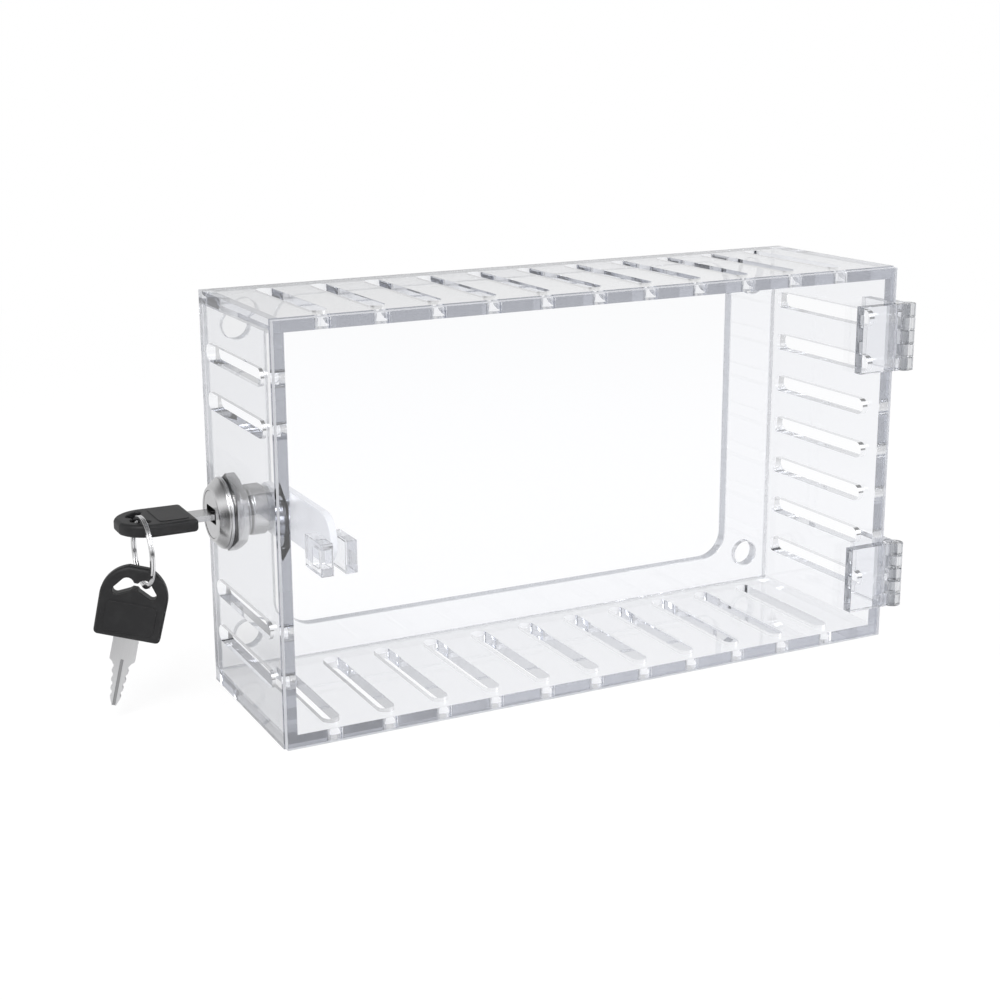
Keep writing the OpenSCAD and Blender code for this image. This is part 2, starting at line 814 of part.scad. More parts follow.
module head() {
    color(black_tone) difference() {
        union() {
            translate([0, 0, -head_t / 2]) linear_extrude(head_t) head_outline();
            translate([0, field_from + field_l / 2, -head_t / 2 - field_t])
                linear_extrude(head_t + 2 * field_t) rounded_outline(field_w, field_l, field_r);
        }
        translate([-blade_w / 2, -through, -blade_t / 2])
            cube([blade_w, tang_l + through, blade_t]);
    }
}

module key_blade() { in_lock() blade(); }
module key_head() { in_lock() head(); }
module spare_key_blade() { on_ring() blade(); }
module spare_key_head() { on_ring() head(); }

module ring_turn() {
    difference() {
        cylinder(d = ring_d, h = ring_turn_t, center = true);
        cylinder(d = ring_d - 2 * ring_wire_w, h = 2 * ring_turn_t, center = true);
    }
}

// Two flat turns side by side, joined where the wire steps from one to the other
module split_ring() {
    turn_pitch = ring_turn_t + ring_turn_gap;
    color(steel_tone) translate([ring_x, ring_y, ring_z]) rotate([0, 90, 0]) union() {
        for (side = [-1, 1]) translate([0, 0, side * turn_pitch / 2]) ring_turn();
        intersection() {
            translate([-ring_step_w / 2, -ring_d / 2, -turn_pitch / 2])
                cube([ring_step_w, 2 * ring_wire_w, turn_pitch]);
            ring_turn();
        }
    }
}

back_panel();
top_panel();
bottom_panel();
left_panel();
right_panel();
upper_hinge_side_leaf();
lower_hinge_side_leaf();
upper_hinge_pin();
lower_hinge_pin();
lock_housing();
lock_nut();
door_panel();
upper_hinge_door_leaf();
lower_hinge_door_leaf();
catch_outer_cheek();
catch_inner_cheek();
lock_plug();
lock_wafers();
wafer_springs();
stop_washer();
cam();
cam_washer();
cam_screw();
key_blade();
key_head();
split_ring();
spare_key_blade();
spare_key_head();
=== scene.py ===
"""Thermostat lock box: a clear case with a hinged clear door, a cam lock and two keys on a ring.

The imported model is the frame. Every piece here is in metres and in the frame's axes: +X to the
right as seen from the room, +Y into the wall, +Z up, with the origin on the wall at the centre of
the four wall holes.
"""
import json
import logging
import math
from collections.abc import Iterator
from contextlib import contextmanager
from dataclasses import dataclass, field
from enum import Enum

import bmesh
import bpy
from mathutils import Matrix, Vector

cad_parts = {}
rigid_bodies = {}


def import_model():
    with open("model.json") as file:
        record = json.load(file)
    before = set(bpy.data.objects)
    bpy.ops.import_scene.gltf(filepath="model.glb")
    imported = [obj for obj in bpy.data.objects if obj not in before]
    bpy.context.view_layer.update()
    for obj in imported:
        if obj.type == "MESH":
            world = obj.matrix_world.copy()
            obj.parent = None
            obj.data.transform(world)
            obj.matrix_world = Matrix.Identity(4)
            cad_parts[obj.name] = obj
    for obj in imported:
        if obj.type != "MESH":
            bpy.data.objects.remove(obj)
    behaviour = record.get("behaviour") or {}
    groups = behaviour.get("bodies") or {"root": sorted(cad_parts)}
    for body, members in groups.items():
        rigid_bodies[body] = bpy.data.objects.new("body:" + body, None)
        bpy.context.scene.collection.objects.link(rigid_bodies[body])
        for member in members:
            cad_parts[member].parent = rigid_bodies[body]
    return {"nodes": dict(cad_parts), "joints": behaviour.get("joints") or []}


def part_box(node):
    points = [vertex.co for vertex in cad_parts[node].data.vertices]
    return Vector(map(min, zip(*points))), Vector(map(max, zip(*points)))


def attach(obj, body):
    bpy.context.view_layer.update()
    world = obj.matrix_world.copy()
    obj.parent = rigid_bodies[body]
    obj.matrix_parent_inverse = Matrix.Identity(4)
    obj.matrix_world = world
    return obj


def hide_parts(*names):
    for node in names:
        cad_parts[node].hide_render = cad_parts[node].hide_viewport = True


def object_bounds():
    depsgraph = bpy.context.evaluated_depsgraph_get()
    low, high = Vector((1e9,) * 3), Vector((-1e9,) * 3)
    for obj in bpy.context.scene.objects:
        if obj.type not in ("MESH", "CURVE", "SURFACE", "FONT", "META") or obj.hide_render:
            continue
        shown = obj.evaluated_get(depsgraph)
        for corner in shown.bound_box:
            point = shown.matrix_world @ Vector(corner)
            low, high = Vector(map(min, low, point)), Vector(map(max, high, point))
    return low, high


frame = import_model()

LOG = logging.getLogger("lock_box")
MM = 0.001
CAD_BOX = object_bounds()
LEAST_MITRE = 0.3
FLAT_RIM = 1.12
Point = tuple[float, float]
Loop = list[Point]
Place = tuple[float, float, float]
Colour = tuple[float, float, float]


class Body(Enum):
    """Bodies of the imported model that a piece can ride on."""

    CASE = "case"
    DOOR = "door"
    PLUG = "plug"
    KEY = "key"
    KEY_RING = "key_ring"
    SPARE_KEY = "spare_key"


class Slot(Enum):
    """Material slots of the record."""

    SHEET = "clear_sheet"
    HINGE = "clear_hinge"
    CHROME = "lock_chrome"
    BRASS = "wafer_brass"
    SMALL_STEEL = "small_steel"
    CAM = "cam_plastic"
    KEY_METAL = "key_metal"
    KEY_PLASTIC = "key_plastic"
    RING = "ring_steel"


class Grain(Enum):
    """Ways in which a metal surface was finished."""

    TURNED = "fine rings about the lock's axis"
    DRAWN = "fine lines along the piece"
    ROLLED = "even, without a direction"


def joint_place(name: str) -> Vector:
    """Reads a joint's place from the frame.

    Args:
        name: the joint's name.

    Returns:
        Its position in metres.
    """
    return Vector(next(j["pos_m"] for j in frame["joints"] if j["name"] == name))


LOCK_AT = joint_place("lock_turn")


def opaque(colour: Colour) -> tuple[float, float, float, float]:
    """Adds a full alpha to a colour."""
    return (*colour, 1.0)


class Wiring:
    """A node tree under construction, with short calls for its nodes and links."""

    def __init__(self, tree: bpy.types.NodeTree) -> None:
        """Starts on a tree."""
        self.tree = tree

    def put(self, value: object, socket: bpy.types.NodeSocket) -> None:
        """Links a socket to another one, or sets it to a plain value.

        Args:
            value: a socket, a number, a colour or a vector.
            socket: the socket that takes it.
        """
        if isinstance(value, bpy.types.NodeSocket):
            self.tree.links.new(value, socket)
        else:
            socket.default_value = value

    def node(self, kind: str, *first: object, **values: object) -> bpy.types.Node:
        """Adds a node and fills its sockets and properties.

        Args:
            kind: the node's type name, without its prefix where that is ShaderNode.
            *first: what its first sockets take, in their order.
            **values: what other sockets take, by name with underscores for spaces, and properties.

        Returns:
            The new node.
        """
        whole = kind.startswith(("GeometryNode", "NodeGroup"))
        made = self.tree.nodes.new(kind if whole else "ShaderNode" + kind)
        for key, value in values.items():
            socket = made.inputs.get(key.replace("_", " "))
            if socket is None:
                setattr(made, key, value)
            else:
                self.put(value, socket)
        for socket, value in zip(made.inputs, first):
            self.put(value, socket)
        return made

    def maths(self, operation: str, *values: object) -> bpy.types.NodeSocket:
        """Adds a Math node between sockets or numbers."""
        return self.node("Math", *values, operation=operation).outputs[0]

    def vector(self, operation: str, *values: object) -> bpy.types.NodeSocket:
        """Adds a Vector Math node between sockets or vectors."""
        return self.node("VectorMath", *values, operation=operation).outputs[0]

    def between(self, share: object, first: object, second: object) -> bpy.types.NodeSocket:
        """Goes from a first number to a second one.

        Args:
            share: a socket that is 0 at the first and 1 at the second.
            first: a socket or a number.
            second: a socket or a number.

        Returns:
            The result's socket.
        """
        made = self.node("Mix", share)
        self.put(first, made.inputs[2])
        self.put(second, made.inputs[3])
        return made.outputs[0]

    def distance(self, operation: str, *values: object) -> bpy.types.NodeSocket:
        """Adds a Vector Math node whose result is a number."""
        return self.node("VectorMath", *values, operation=operation).outputs["Value"]

    def ramp(self, value: object, start: float, end: float, low: object = 0.0, high: object = 1.0,
             smooth: bool = False) -> bpy.types.NodeSocket:
        """Maps a value between two limits to a value between two others.

        Args:
            value: the value's socket.
            start: the limit that gives low.
            end: the limit that gives high.
            low: a socket or a number.
            high: a socket or a number.
            smooth: whether it leaves and reaches its limits smoothly.

        Returns:
            The result's socket.
        """
        return self.node("MapRange", Value=value, From_Min=start, From_Max=end, To_Min=low, To_Max=high,
                         interpolation_type="SMOOTHSTEP" if smooth else "LINEAR").outputs[0]


class Shader(Wiring):
    """A material under construction."""

    def __init__(self, name: str) -> None:
        """Starts an empty material.

        Args:
            name: the material's name.
        """
        self.material = bpy.data.materials.new(name)
        self.material.use_nodes = True
        super().__init__(self.material.node_tree)
        self.tree.nodes.clear()
        self.output = self.node("OutputMaterial")

    def where(self) -> bpy.types.NodeSocket:
        """Gives the surface's Object coordinates."""
        return self.node("TexCoord").outputs["Object"]

    def noise(self, where: bpy.types.NodeSocket, scale: float, detail: float,
              roughness: float) -> bpy.types.NodeSocket:
        """Adds a noise between 0 and 1."""
        made = self.node("TexNoise", Vector=where, Scale=scale, Detail=detail, Roughness=roughness)
        return made.outputs[0]

    def relief(self, height: bpy.types.NodeSocket, strength: float, depth: float) -> bpy.types.NodeSocket:
        """Adds a bump of a height between 0 and 1."""
        return self.node("Bump", Height=height, Strength=strength, Distance=depth).outputs[0]

    def blend(self, share: bpy.types.NodeSocket, first: Colour, second: Colour) -> bpy.types.NodeSocket:
        """Blends from a first colour to a second one.

        Args:
            share: a socket that is 0 at the first and 1 at the second.
            first: a colour.
            second: a colour.

        Returns:
            The blend's socket.
        """
        made = self.node("Mix", share, data_type="RGBA")
        made.inputs[6].default_value = opaque(first)
        made.inputs[7].default_value = opaque(second)
        return made.outputs[2]

    def either(self, share: object, first: bpy.types.Node, second: bpy.types.Node) -> bpy.types.Node:
        """Mixes a second surface into a first one."""
        return self.node("MixShader", share, first.outputs[0], second.outputs[0])

    def done(self, surface: bpy.types.Node) -> bpy.types.Material:
        """Gives the material its surface."""
        self.put(surface.outputs[0], self.output.inputs["Surface"])
        return self.material


@dataclass(frozen=True)
class ClearPlastic:
    """Clear plastic that dims light along its way through it, so long ways look grey; with a broad axis,
    its narrow sides also get painted shade in their colour.
    """

    name: str
    dimming: Colour = (8.0, 7.6, 6.4)
    tint: Colour = (0.988, 0.991, 1.0)
    refraction: float = 1.49
    shade_through: float = 0.97
    broad_axis: str = ""
    # painted shade: the grey that the narrow sides get in their colour
    painted_edge_shade: Colour = (0.58, 0.59, 0.61)
    sawn_tone: Colour = (0.62, 0.63, 0.66)
    matt_edges: float = 0.0

    def edges(self, shader: Shader, glass: bpy.types.Node) -> bpy.types.Node:
        """Paints shade into the narrow sides' colour, so they are greyer than the broad faces, and makes
        them partly matt where they are sawn.

        Args:
            shader: the tree to add to.
            glass: the clear surface.

        Returns:
            The node of the surface with its narrow sides.
        """
        facing = shader.node("SeparateXYZ", shader.node("TexCoord").outputs["Normal"])
        across = shader.maths("ABSOLUTE", facing.outputs[self.broad_axis])
        narrow = shader.ramp(across, 0.5, 0.95, 1.0, 0.0)
        # painted shade: the narrow sides' colour goes grey
        shader.put(shader.blend(narrow, self.tint, self.painted_edge_shade), glass.inputs["Base Color"])
        sawn = shader.node("BsdfDiffuse", Color=opaque(self.sawn_tone))
        return shader.either(shader.maths("MULTIPLY", narrow, self.matt_edges), glass, sawn)

    def material(self) -> bpy.types.Material:
        """Builds the material.

        Returns:
            A refracting material with a thin grey absorption, which lets lamps through.
        """
        shader = Shader(self.name)
        clear = shader.node("BsdfPrincipled", Base_Color=opaque(self.tint), Roughness=0.0,
                            IOR=self.refraction, Transmission_Weight=1.0)
        if self.broad_axis:
            clear = self.edges(shader, clear)
        passing = shader.node("BsdfTransparent", Color=opaque((self.shade_through,) * 3))
        path = shader.node("LightPath").outputs
        lamp_rays = shader.maths("MAXIMUM", path["Is Shadow Ray"], path["Is Diffuse Ray"])
        density = max(self.dimming) * 2
        colour = tuple(1 - part / density for part in self.dimming)
        inside = shader.node("VolumeAbsorption", Color=opaque(colour), Density=density)
        shader.put(inside.outputs[0], shader.output.inputs["Volume"])
        return shader.done(shader.either(lamp_rays, clear, passing))


@dataclass(frozen=True)
class PaleMoulding:
    """Pale, nearly clear moulded plastic that lets some of what lies behind it through."""

    name: str
    colour: Colour = (0.87, 0.88, 0.915)
    body: float = 0.8
    gloss_roughness: float = 0.16
    flow_scale: float = 260.0
    flow_depth: float = 0.05 * MM

    def material(self) -> bpy.types.Material:
        """Builds the material.

        Returns:
            A smooth plastic with faint flow marks and a partly clear body.
        """
        shader = Shader(self.name)
        flow = shader.noise(shader.where(), self.flow_scale, 3.0, 0.5)
        return shader.done(shader.node(
            "BsdfPrincipled", Base_Color=opaque(self.colour), Roughness=self.gloss_roughness,
            Alpha=self.body, Normal=shader.relief(flow, 0.06, self.flow_depth)))


@dataclass(frozen=True)
class BlackMoulding:
    """Black moulded plastic with a fine matt grain and handled edges."""

    name: str
    colour: Colour = (0.018, 0.018, 0.019)
    worn: Colour = (0.026, 0.026, 0.027)
    roughness: float = 0.46
    cloud_scale: float = 180.0
    pit_scale: float = 4200.0
    pit_depth: float = 0.06 * MM

    def material(self) -> bpy.types.Material:
        """Builds the material.

        Returns:
            A dark plastic with a fine pitted relief, a little paler where hands rub it.
        """
        shader = Shader(self.name)
        where = shader.where()
        rubbed = shader.ramp(shader.noise(where, self.cloud_scale, 4.0, 0.6), 0.45, 0.75)
        pits = shader.noise(where, self.pit_scale, 2.0, 0.6)
        return shader.done(shader.node(
            "BsdfPrincipled", Base_Color=shader.blend(rubbed, self.colour, self.worn),
            Roughness=self.roughness, IOR=1.5, Specular_IOR_Level=0.28,
            Normal=shader.relief(pits, 0.22, self.pit_depth)))


@dataclass(frozen=True)
class Metal:
    """Bare or plated metal with the fine marks of how it was finished."""

    name: str
    colour: Colour
    shade: Colour
    roughness: float
    grain: Grain = Grain.ROLLED
    along: Place = (1.0, 0.0, 0.0)
    pitch: float = 0.12 * MM
    depth: float = 0.3
    mark_depth: float = 0.02 * MM
    mark_share: float = 0.7
    line_length: float = 40.0
    cloud_scale: float = 90.0

    def about_lock(self, shader: Shader,
                   where: bpy.types.NodeSocket) -> tuple[bpy.types.NodeSocket, bpy.types.NodeSocket]:
        """Measures from the lock's axis.

        Args:
            shader: the tree to add to.
            where: the surface's Object coordinates.

        Returns:
            The way from the axis, with x as it was, and the distance from the axis.
        """
        away = shader.vector("SUBTRACT", where, (0.0, LOCK_AT.y, LOCK_AT.z))
        return away, shader.distance("LENGTH", shader.vector("MULTIPLY", away, (0.0, 1.0, 1.0)))

    def marks(self, shader: Shader, where: bpy.types.NodeSocket) -> bpy.types.NodeSocket:
        """Adds the height of the finish's fine marks.

        Args:
            shader: the tree to add to.
            where: the surface's Object coordinates.

        Returns:
            A height between 0 and 1.
        """
        fine = 1.0 / self.pitch
        if self.grain is Grain.ROLLED:
            return shader.noise(where, fine, 3.0, 0.65)
        if self.grain is Grain.TURNED:
            away, reach = self.about_lock(shader, where)
            along = shader.node("SeparateXYZ", away).outputs["X"]
            drawn = shader.node("CombineXYZ", shader.maths("MULTIPLY", reach, fine),
                                shader.maths("MULTIPLY", along, fine)).outputs[0]
        else:
            turn = Vector(self.along).normalized().to_track_quat("X", "Z").inverted().to_euler()
            lines = shader.node("Mapping", where, Rotation=turn).outputs[0]
            drawn = shader.vector("MULTIPLY", lines, (fine / self.line_length, fine, fine))
        return shader.noise(drawn, 1.0, 3.0, 0.65)

    def paint(self, shader: Shader, where: bpy.types.NodeSocket,
              colour: bpy.types.NodeSocket) -> bpy.types.NodeSocket:
        """Leaves the metal's colour as it is."""
        return colour

    def material(self) -> bpy.types.Material:
        """Builds the material.

        Returns:
            A metal whose colour, gloss and relief follow its fine marks.
        """
        shader = Shader(self.name)
        where = shader.where()
        marks = self.marks(shader, where)
        cloud = shader.noise(where, self.cloud_scale, 3.0, 0.5)
        cloud = shader.maths("MULTIPLY", cloud, 1 - self.mark_share)
        both = shader.maths("ADD", shader.maths("MULTIPLY", marks, self.mark_share), cloud)
        tone = shader.blend(shader.ramp(both, 0.3, 0.7), self.shade, self.colour)
        return shader.done(shader.node(
            "BsdfPrincipled", Metallic=1.0, Base_Color=self.paint(shader, where, tone),
            Roughness=shader.ramp(marks, 0.0, 1.0, self.roughness * 0.8, self.roughness * 1.25),
            Normal=shader.relief(marks, self.depth, self.mark_depth)))


@dataclass(frozen=True)
class HousingMetal(Metal):
    """The housing's metal, with painted shade on its milled flats and in its thread's roots inside the
    case.
    """

    flats: float = 8.1 * MM
    painted_flat_shade: float = 0.6
    sheet: float = 4.5 * MM
    thread_end: float = 12.3 * MM
    root_r: float = 8.6 * MM
    crest_r: float = 8.95 * MM
    painted_root_shade: float = 0.85

    def paint(self, shader: Shader, where: bpy.types.NodeSocket,
              colour: bpy.types.NodeSocket) -> bpy.types.NodeSocket:
        """Paints shade on the milled flats and in the thread's roots.

        Args:
            shader: the tree to add to.
            where: the surface's Object coordinates.
            colour: the metal's colour.

        Returns:
            The colour, darker there with painted shade.
        """
        away, reach = self.about_lock(shader, where)
        way = shader.node("SeparateXYZ", away).outputs
        inwards = shader.maths("SUBTRACT", way["X"], LOCK_AT.x)
        inner = shader.maths("GREATER_THAN", inwards, self.sheet)
        threaded = shader.maths("MULTIPLY", inner, shader.maths("LESS_THAN", inwards, self.thread_end))
        # painted shade on the flats inside the case and in the thread's roots
        on_flat = shader.maths("GREATER_THAN", shader.maths("ABSOLUTE", way["Z"]), self.flats)
        on_flat = shader.maths("MULTIPLY", shader.maths("MULTIPLY", on_flat, inner), self.painted_flat_shade)
        in_root = shader.ramp(reach, self.root_r, self.crest_r, self.painted_root_shade, 0.0)
        painted_shade = shader.maths("MAXIMUM", shader.maths("MULTIPLY", in_root, threaded), on_flat)
        light = shader.maths("SUBTRACT", 1.0, painted_shade)
        return shader.node("VectorMath", colour, operation="SCALE", Scale=light).outputs[0]


def metal(name: str, bright: float, shade: float, roughness: float, grain: Grain = Grain.ROLLED,
          **more: object) -> bpy.types.Material:
    """Makes a nearly neutral metal.

    Args:
        name: the material's name.
        bright: its paler level.
        shade: its darker level.
        roughness: how dull it is.
        grain: how it was finished.
        **more: further fields of its finish.

    Returns:
        The material.
    """
    levels = ((level, level, round(level + 0.01, 3)) for level in (bright, shade))
    return Metal(name, *levels, roughness, grain, **more).material()


def new_piece(name: str, data: bpy.types.ID) -> bpy.types.Object:
    """Links a new object into the scene.

    Args:
        name: the object's name.
        data: its mesh, camera or lamp.

    Returns:
        The object.
    """
    piece = bpy.data.objects.new(name, data)
    bpy.context.scene.collection.objects.link(piece)
    return piece


def bake_modifiers(piece: bpy.types.Object) -> None:
    """Puts what a piece's modifiers make into its own mesh and removes them.

    Args:
        piece: an object with modifiers.
    """
    graph = bpy.context.evaluated_depsgraph_get()
    made = bpy.data.meshes.new_from_object(piece.evaluated_get(graph), depsgraph=graph)
    piece.modifiers.clear()
    made.name = piece.name
    piece.data = made


@contextmanager
def reshaped(mesh: bpy.types.Mesh) -> Iterator[bmesh.types.BMesh]:
    """Opens a mesh for changes, and writes it back with its faces turned outwards.

    Args:
        mesh: the mesh.

    Yields:
        Its points, edges and faces.
    """
    shape = bmesh.new()
    shape.from_mesh(mesh)
    yield shape
    bmesh.ops.recalc_face_normals(shape, faces=shape.faces)
    shape.to_mesh(mesh)
    shape.free()


def loops_mesh(name: str, loops: list[Loop]) -> bpy.types.Mesh:
    """Makes a flat mesh of closed outlines, as edges only.

    Args:
        name: the mesh's name.
        loops: one list of points in metres for each outline.

    Returns:
        The mesh, in the XY plane.
    """
    points = [(x, y, 0.0) for loop in loops for x, y in loop]
    edges = []
    start = 0
    for loop in loops:
        count = len(loop)
        edges += [(start + i, start + (i + 1) % count) for i in range(count)]
        start += count
    mesh = bpy.data.meshes.new(name)
    mesh.from_pydata(points, edges, [])
    return mesh


def arc(centre: Point, radius: float, start: float, end: float, steps: int) -> Loop:
    """Points along an arc.

    Args:
        centre: the arc's centre.
        radius: its radius.
        start: its first angle in degrees.
        end: its last angle in degrees.
        steps: the number of points after the first.

    Returns:
        The points, both ends included.
    """
    angles = [math.radians(start + (end - start) * i / steps) for i in range(steps + 1)]
    return [(centre[0] + radius * math.cos(a), centre[1] + radius * math.sin(a)) for a in angles]


def rounded_loop(centre: Point, width: float, height: float, radius: float, steps: int = 12) -> Loop:
    """Outline of a rectangle with round corners, counter-clockwise.

    Args:
        centre: its centre.
        width: its size along x.
        height: its size along y.
        radius: the corners' radius.
        steps: points along each corner after its first.

    Returns:
        The outline's points.
    """
    across, up = width / 2 - radius, height / 2 - radius
    corners = [(across, up, 0), (-across, up, 90), (-across, -up, 180), (across, -up, 270)]
    points = []
    for x, y, turn in corners:
        points += arc((centre[0] + x, centre[1] + y), radius, turn, turn + 90, steps)
    return points


def circle_loop(centre: Point, radius: float, steps: int = 48) -> Loop:
    """Outline of a circle."""
    return arc(centre, radius, 0, 360, steps)[:-1]


def box_loop(low: Point, high: Point) -> Loop:
    """Outline of a rectangle between two corners."""
    return [low, (high[0], low[1]), high, (low[0], high[1])]


class PieceTree(Wiring):
    """Geometry Nodes that make a whole piece from named inputs."""

    def __init__(self, name: str, kinds: dict[str, str]) -> None:
        """Starts a tree.

        Args:
            name: the tree's name.
            kinds: the kind of each input, by its name.
        """
        super().__init__(bpy.data.node_groups.new(name, "GeometryNodeTree"))
        socket = self.tree.interface.new_socket
        socket(name="Geometry", in_out="OUTPUT", socket_type="NodeSocketGeometry")
        self.ids = {label: socket(name=label, in_out="INPUT", socket_type="NodeSocket" + kind).identifier
                    for label, kind in kinds.items()}
        self.given = self.node("NodeGroupInput").outputs

    def offset(self, **ways: object) -> bpy.types.NodeSocket:
        """Adds a vector from its X, Y and Z."""
        return self.node("CombineXYZ", **ways).outputs[0]

    def merged(self, mesh: bpy.types.NodeSocket, distance: float) -> bpy.types.NodeSocket:
        """Merges a mesh's close points."""
        return self.node("GeometryNodeMergeByDistance", mesh, Distance=distance).outputs[0]

    def copies(self, points: bpy.types.NodeSocket, part: bpy.types.NodeSocket) -> bpy.types.NodeSocket:
        """Puts a copy of a part on each point, as instances."""
        return self.node("GeometryNodeInstanceOnPoints", Points=points, Instance=part).outputs[0]

    def real(self, parts: bpy.types.NodeSocket) -> bpy.types.NodeSocket:
        """Turns instances into plain geometry."""
        return self.node("GeometryNodeRealizeInstances", parts).outputs[0]

    def send(self, parts: bpy.types.NodeSocket) -> None:
        """Makes the parts real, gives them the piece's material and sends them out."""
        dressed = self.node("GeometryNodeSetMaterial", self.real(parts), Material=self.given["Material"])
        self.node("NodeGroupOutput", dressed.outputs[0])

    def make(self, name: str, start: bpy.types.Mesh, material: bpy.types.Material,
             **sizes: float) -> bpy.types.Object:
        """Makes one piece with its own sizes.

        Args:
            name: the piece's name.
            start: the mesh that the tree starts from.
            material: what the piece is made of.
            **sizes: the tree's other inputs, with underscores for spaces.

        Returns:
            The piece as a plain mesh.
        """
        piece = new_piece(name, start)
        maker = piece.modifiers.new("maker", "NODES")
        maker.node_group = self.tree
        for label, value in {"Material": material, **sizes}.items():
            maker[self.ids[label.replace("_", " ")]] = value
        bake_modifiers(piece)
        return piece


class CutSheetTree(PieceTree):
    """Geometry Nodes that cut a sheet out of its outlines, with or without a row of vent slots."""

    fullest_round: float = 0.4999
    end_points: int = 10

    def __init__(self, name: str, vented: bool) -> None:
        """Builds the tree.

        Args:
            name: the tree's name.
            vented: whether the sheet has a row of slots.
        """
        sizes = ("Thickness", "Slot Length", "Slot Width", "Slot Pitch", "Slot Centre", "Clear Middle",
                 "Clear Reach")
        super().__init__(name, {"Geometry": "Geometry", **dict.fromkeys(sizes, "Float"),
                                "Slot Count": "Int", "Material": "Material"})
        outlines = [self.node("GeometryNodeMeshToCurve", self.given["Geometry"]).outputs[0]]
        if vented:
            outlines.append(self.slots())
        filled = self.node("GeometryNodeFillCurve", self.join(*outlines), mode="NGONS").outputs[0]
        grown = self.node("GeometryNodeExtrudeMesh", filled, mode="FACES", Individual=False,
                          Offset=self.offset(Z=1.0), Offset_Scale=self.given["Thickness"]).outputs["Mesh"]
        under = self.node("GeometryNodeFlipFaces", filled).outputs[0]
        self.send(self.merged(self.join(grown, under), 0.001 * MM))

    def join(self, *parts: bpy.types.NodeSocket) -> bpy.types.NodeSocket:
        """Joins geometries.

        Args:
            *parts: their sockets.

        Returns:
            The socket of all of them together.
        """
        made = self.node("GeometryNodeJoinGeometry")
        for part in parts:
            self.put(part, made.inputs[0])
        return made.outputs[0]

    def slots(self) -> bpy.types.NodeSocket:
        """Adds the row of slot outlines, without those near the lock.

        Returns:
            The curves' socket.
        """
        give = self.given
        slot = self.node("GeometryNodeCurvePrimitiveQuadrilateral", Width=give["Slot Width"],
                         Height=give["Slot Length"]).outputs[0]
        end_r = self.maths("MULTIPLY", give["Slot Width"], self.fullest_round)
        rounded = self.node("GeometryNodeFilletCurve", mode="POLY", Curve=slot, Count=self.end_points,
                            Radius=end_r).outputs[0]
        half_row = self.maths("MULTIPLY", self.maths("SUBTRACT", give["Slot Count"], 1.0), -0.5)
        first = self.offset(X=self.maths("MULTIPLY", half_row, give["Slot Pitch"]), Y=give["Slot Centre"])
        row = self.node("GeometryNodeMeshLine", mode="OFFSET", Count=give["Slot Count"],
                        Start_Location=first, Offset=self.offset(X=give["Slot Pitch"])).outputs[0]
        along = self.node("SeparateXYZ", self.node("GeometryNodeInputPosition").outputs[0]).outputs["X"]
        away = self.maths("ABSOLUTE", self.maths("SUBTRACT", along, give["Clear Middle"]))
        kept = self.node("GeometryNodeDeleteGeometry", row, domain="POINT",
                         Selection=self.maths("LESS_THAN", away, give["Clear Reach"])).outputs[0]
        return self.real(self.copies(kept, rounded))


class CoilTree(PieceTree):
    """Geometry Nodes that wind wire into coils, standing in a row along X with their axes along Z."""

    step_from: float = 0.47
    step_to: float = 0.53
    corner_points: int = 3

    def __init__(self) -> None:
        """Builds the tree."""
        sizes = ("Radius", "Turns", "Height", "Step", "Wire Width", "Wire Height", "Wire Corner", "Pitch")
        super().__init__("wound wire", {**dict.fromkeys(sizes, "Float"), "Turn Points": "Int",
                                        "Count": "Int", "Material": "Material"})
        give = self.given
        path = self.node("GeometryNodeCurveSpiral", Resolution=give["Turn Points"], Rotations=give["Turns"],
                         Start_Radius=give["Radius"], End_Radius=give["Radius"], Height=give["Height"])
        low, high = (self.maths("MULTIPLY", give["Step"], side) for side in (-0.5, 0.5))
        share = self.node("GeometryNodeSplineParameter").outputs["Factor"]
        lift = self.offset(Z=self.ramp(share, self.step_from, self.step_to, low, high, True))
        stepped = self.node("GeometryNodeSetPosition", path.outputs[0], Offset=lift)
        upright = self.node("GeometryNodeSetCurveNormal", stepped.outputs[0], mode="Z_UP")
        section = self.node("GeometryNodeCurvePrimitiveQuadrilateral", Width=give["Wire Width"],
                            Height=give["Wire Height"])
        corner = self.node("GeometryNodeFilletCurve", mode="POLY", Curve=section.outputs[0],
                           Count=self.corner_points, Radius=give["Wire Corner"])
        wire = self.node("GeometryNodeCurveToMesh", Curve=upright.outputs[0],
                         Profile_Curve=corner.outputs[0], Fill_Caps=True)
        row = self.node("GeometryNodeMeshLine", mode="OFFSET", Count=give["Count"],
                        Offset=self.offset(X=give["Pitch"]))
        self.send(self.copies(row.outputs[0], self.merged(wire.outputs[0], 0.0001 * MM)))

    def wind(self, name: str, material: bpy.types.Material, **sizes: float) -> bpy.types.Object:
        """Winds one piece.

        Args:
            name: the piece's name.
            material: what it is made of.
            **sizes: the tree's inputs, with underscores for spaces.

        Returns:
            The coils as a plain mesh.
        """
        piece = self.make(name, bpy.data.meshes.new(name), material, **sizes)
        with reshaped(piece.data):
            # Nothing else changes: closing the mesh turns its faces outwards.
            return piece


@dataclass(frozen=True)
class Trim:
    """How a piece's edges are broken and how it is shaded.

    Edges that turn by less than limit, in degrees, aren't broken, and those that turn by more than
    sharp stay sharp in the shading.
    """

    width: float = 0.0
    segments: int = 1
    limit: float = 35.0
    sharp: float = 25.0


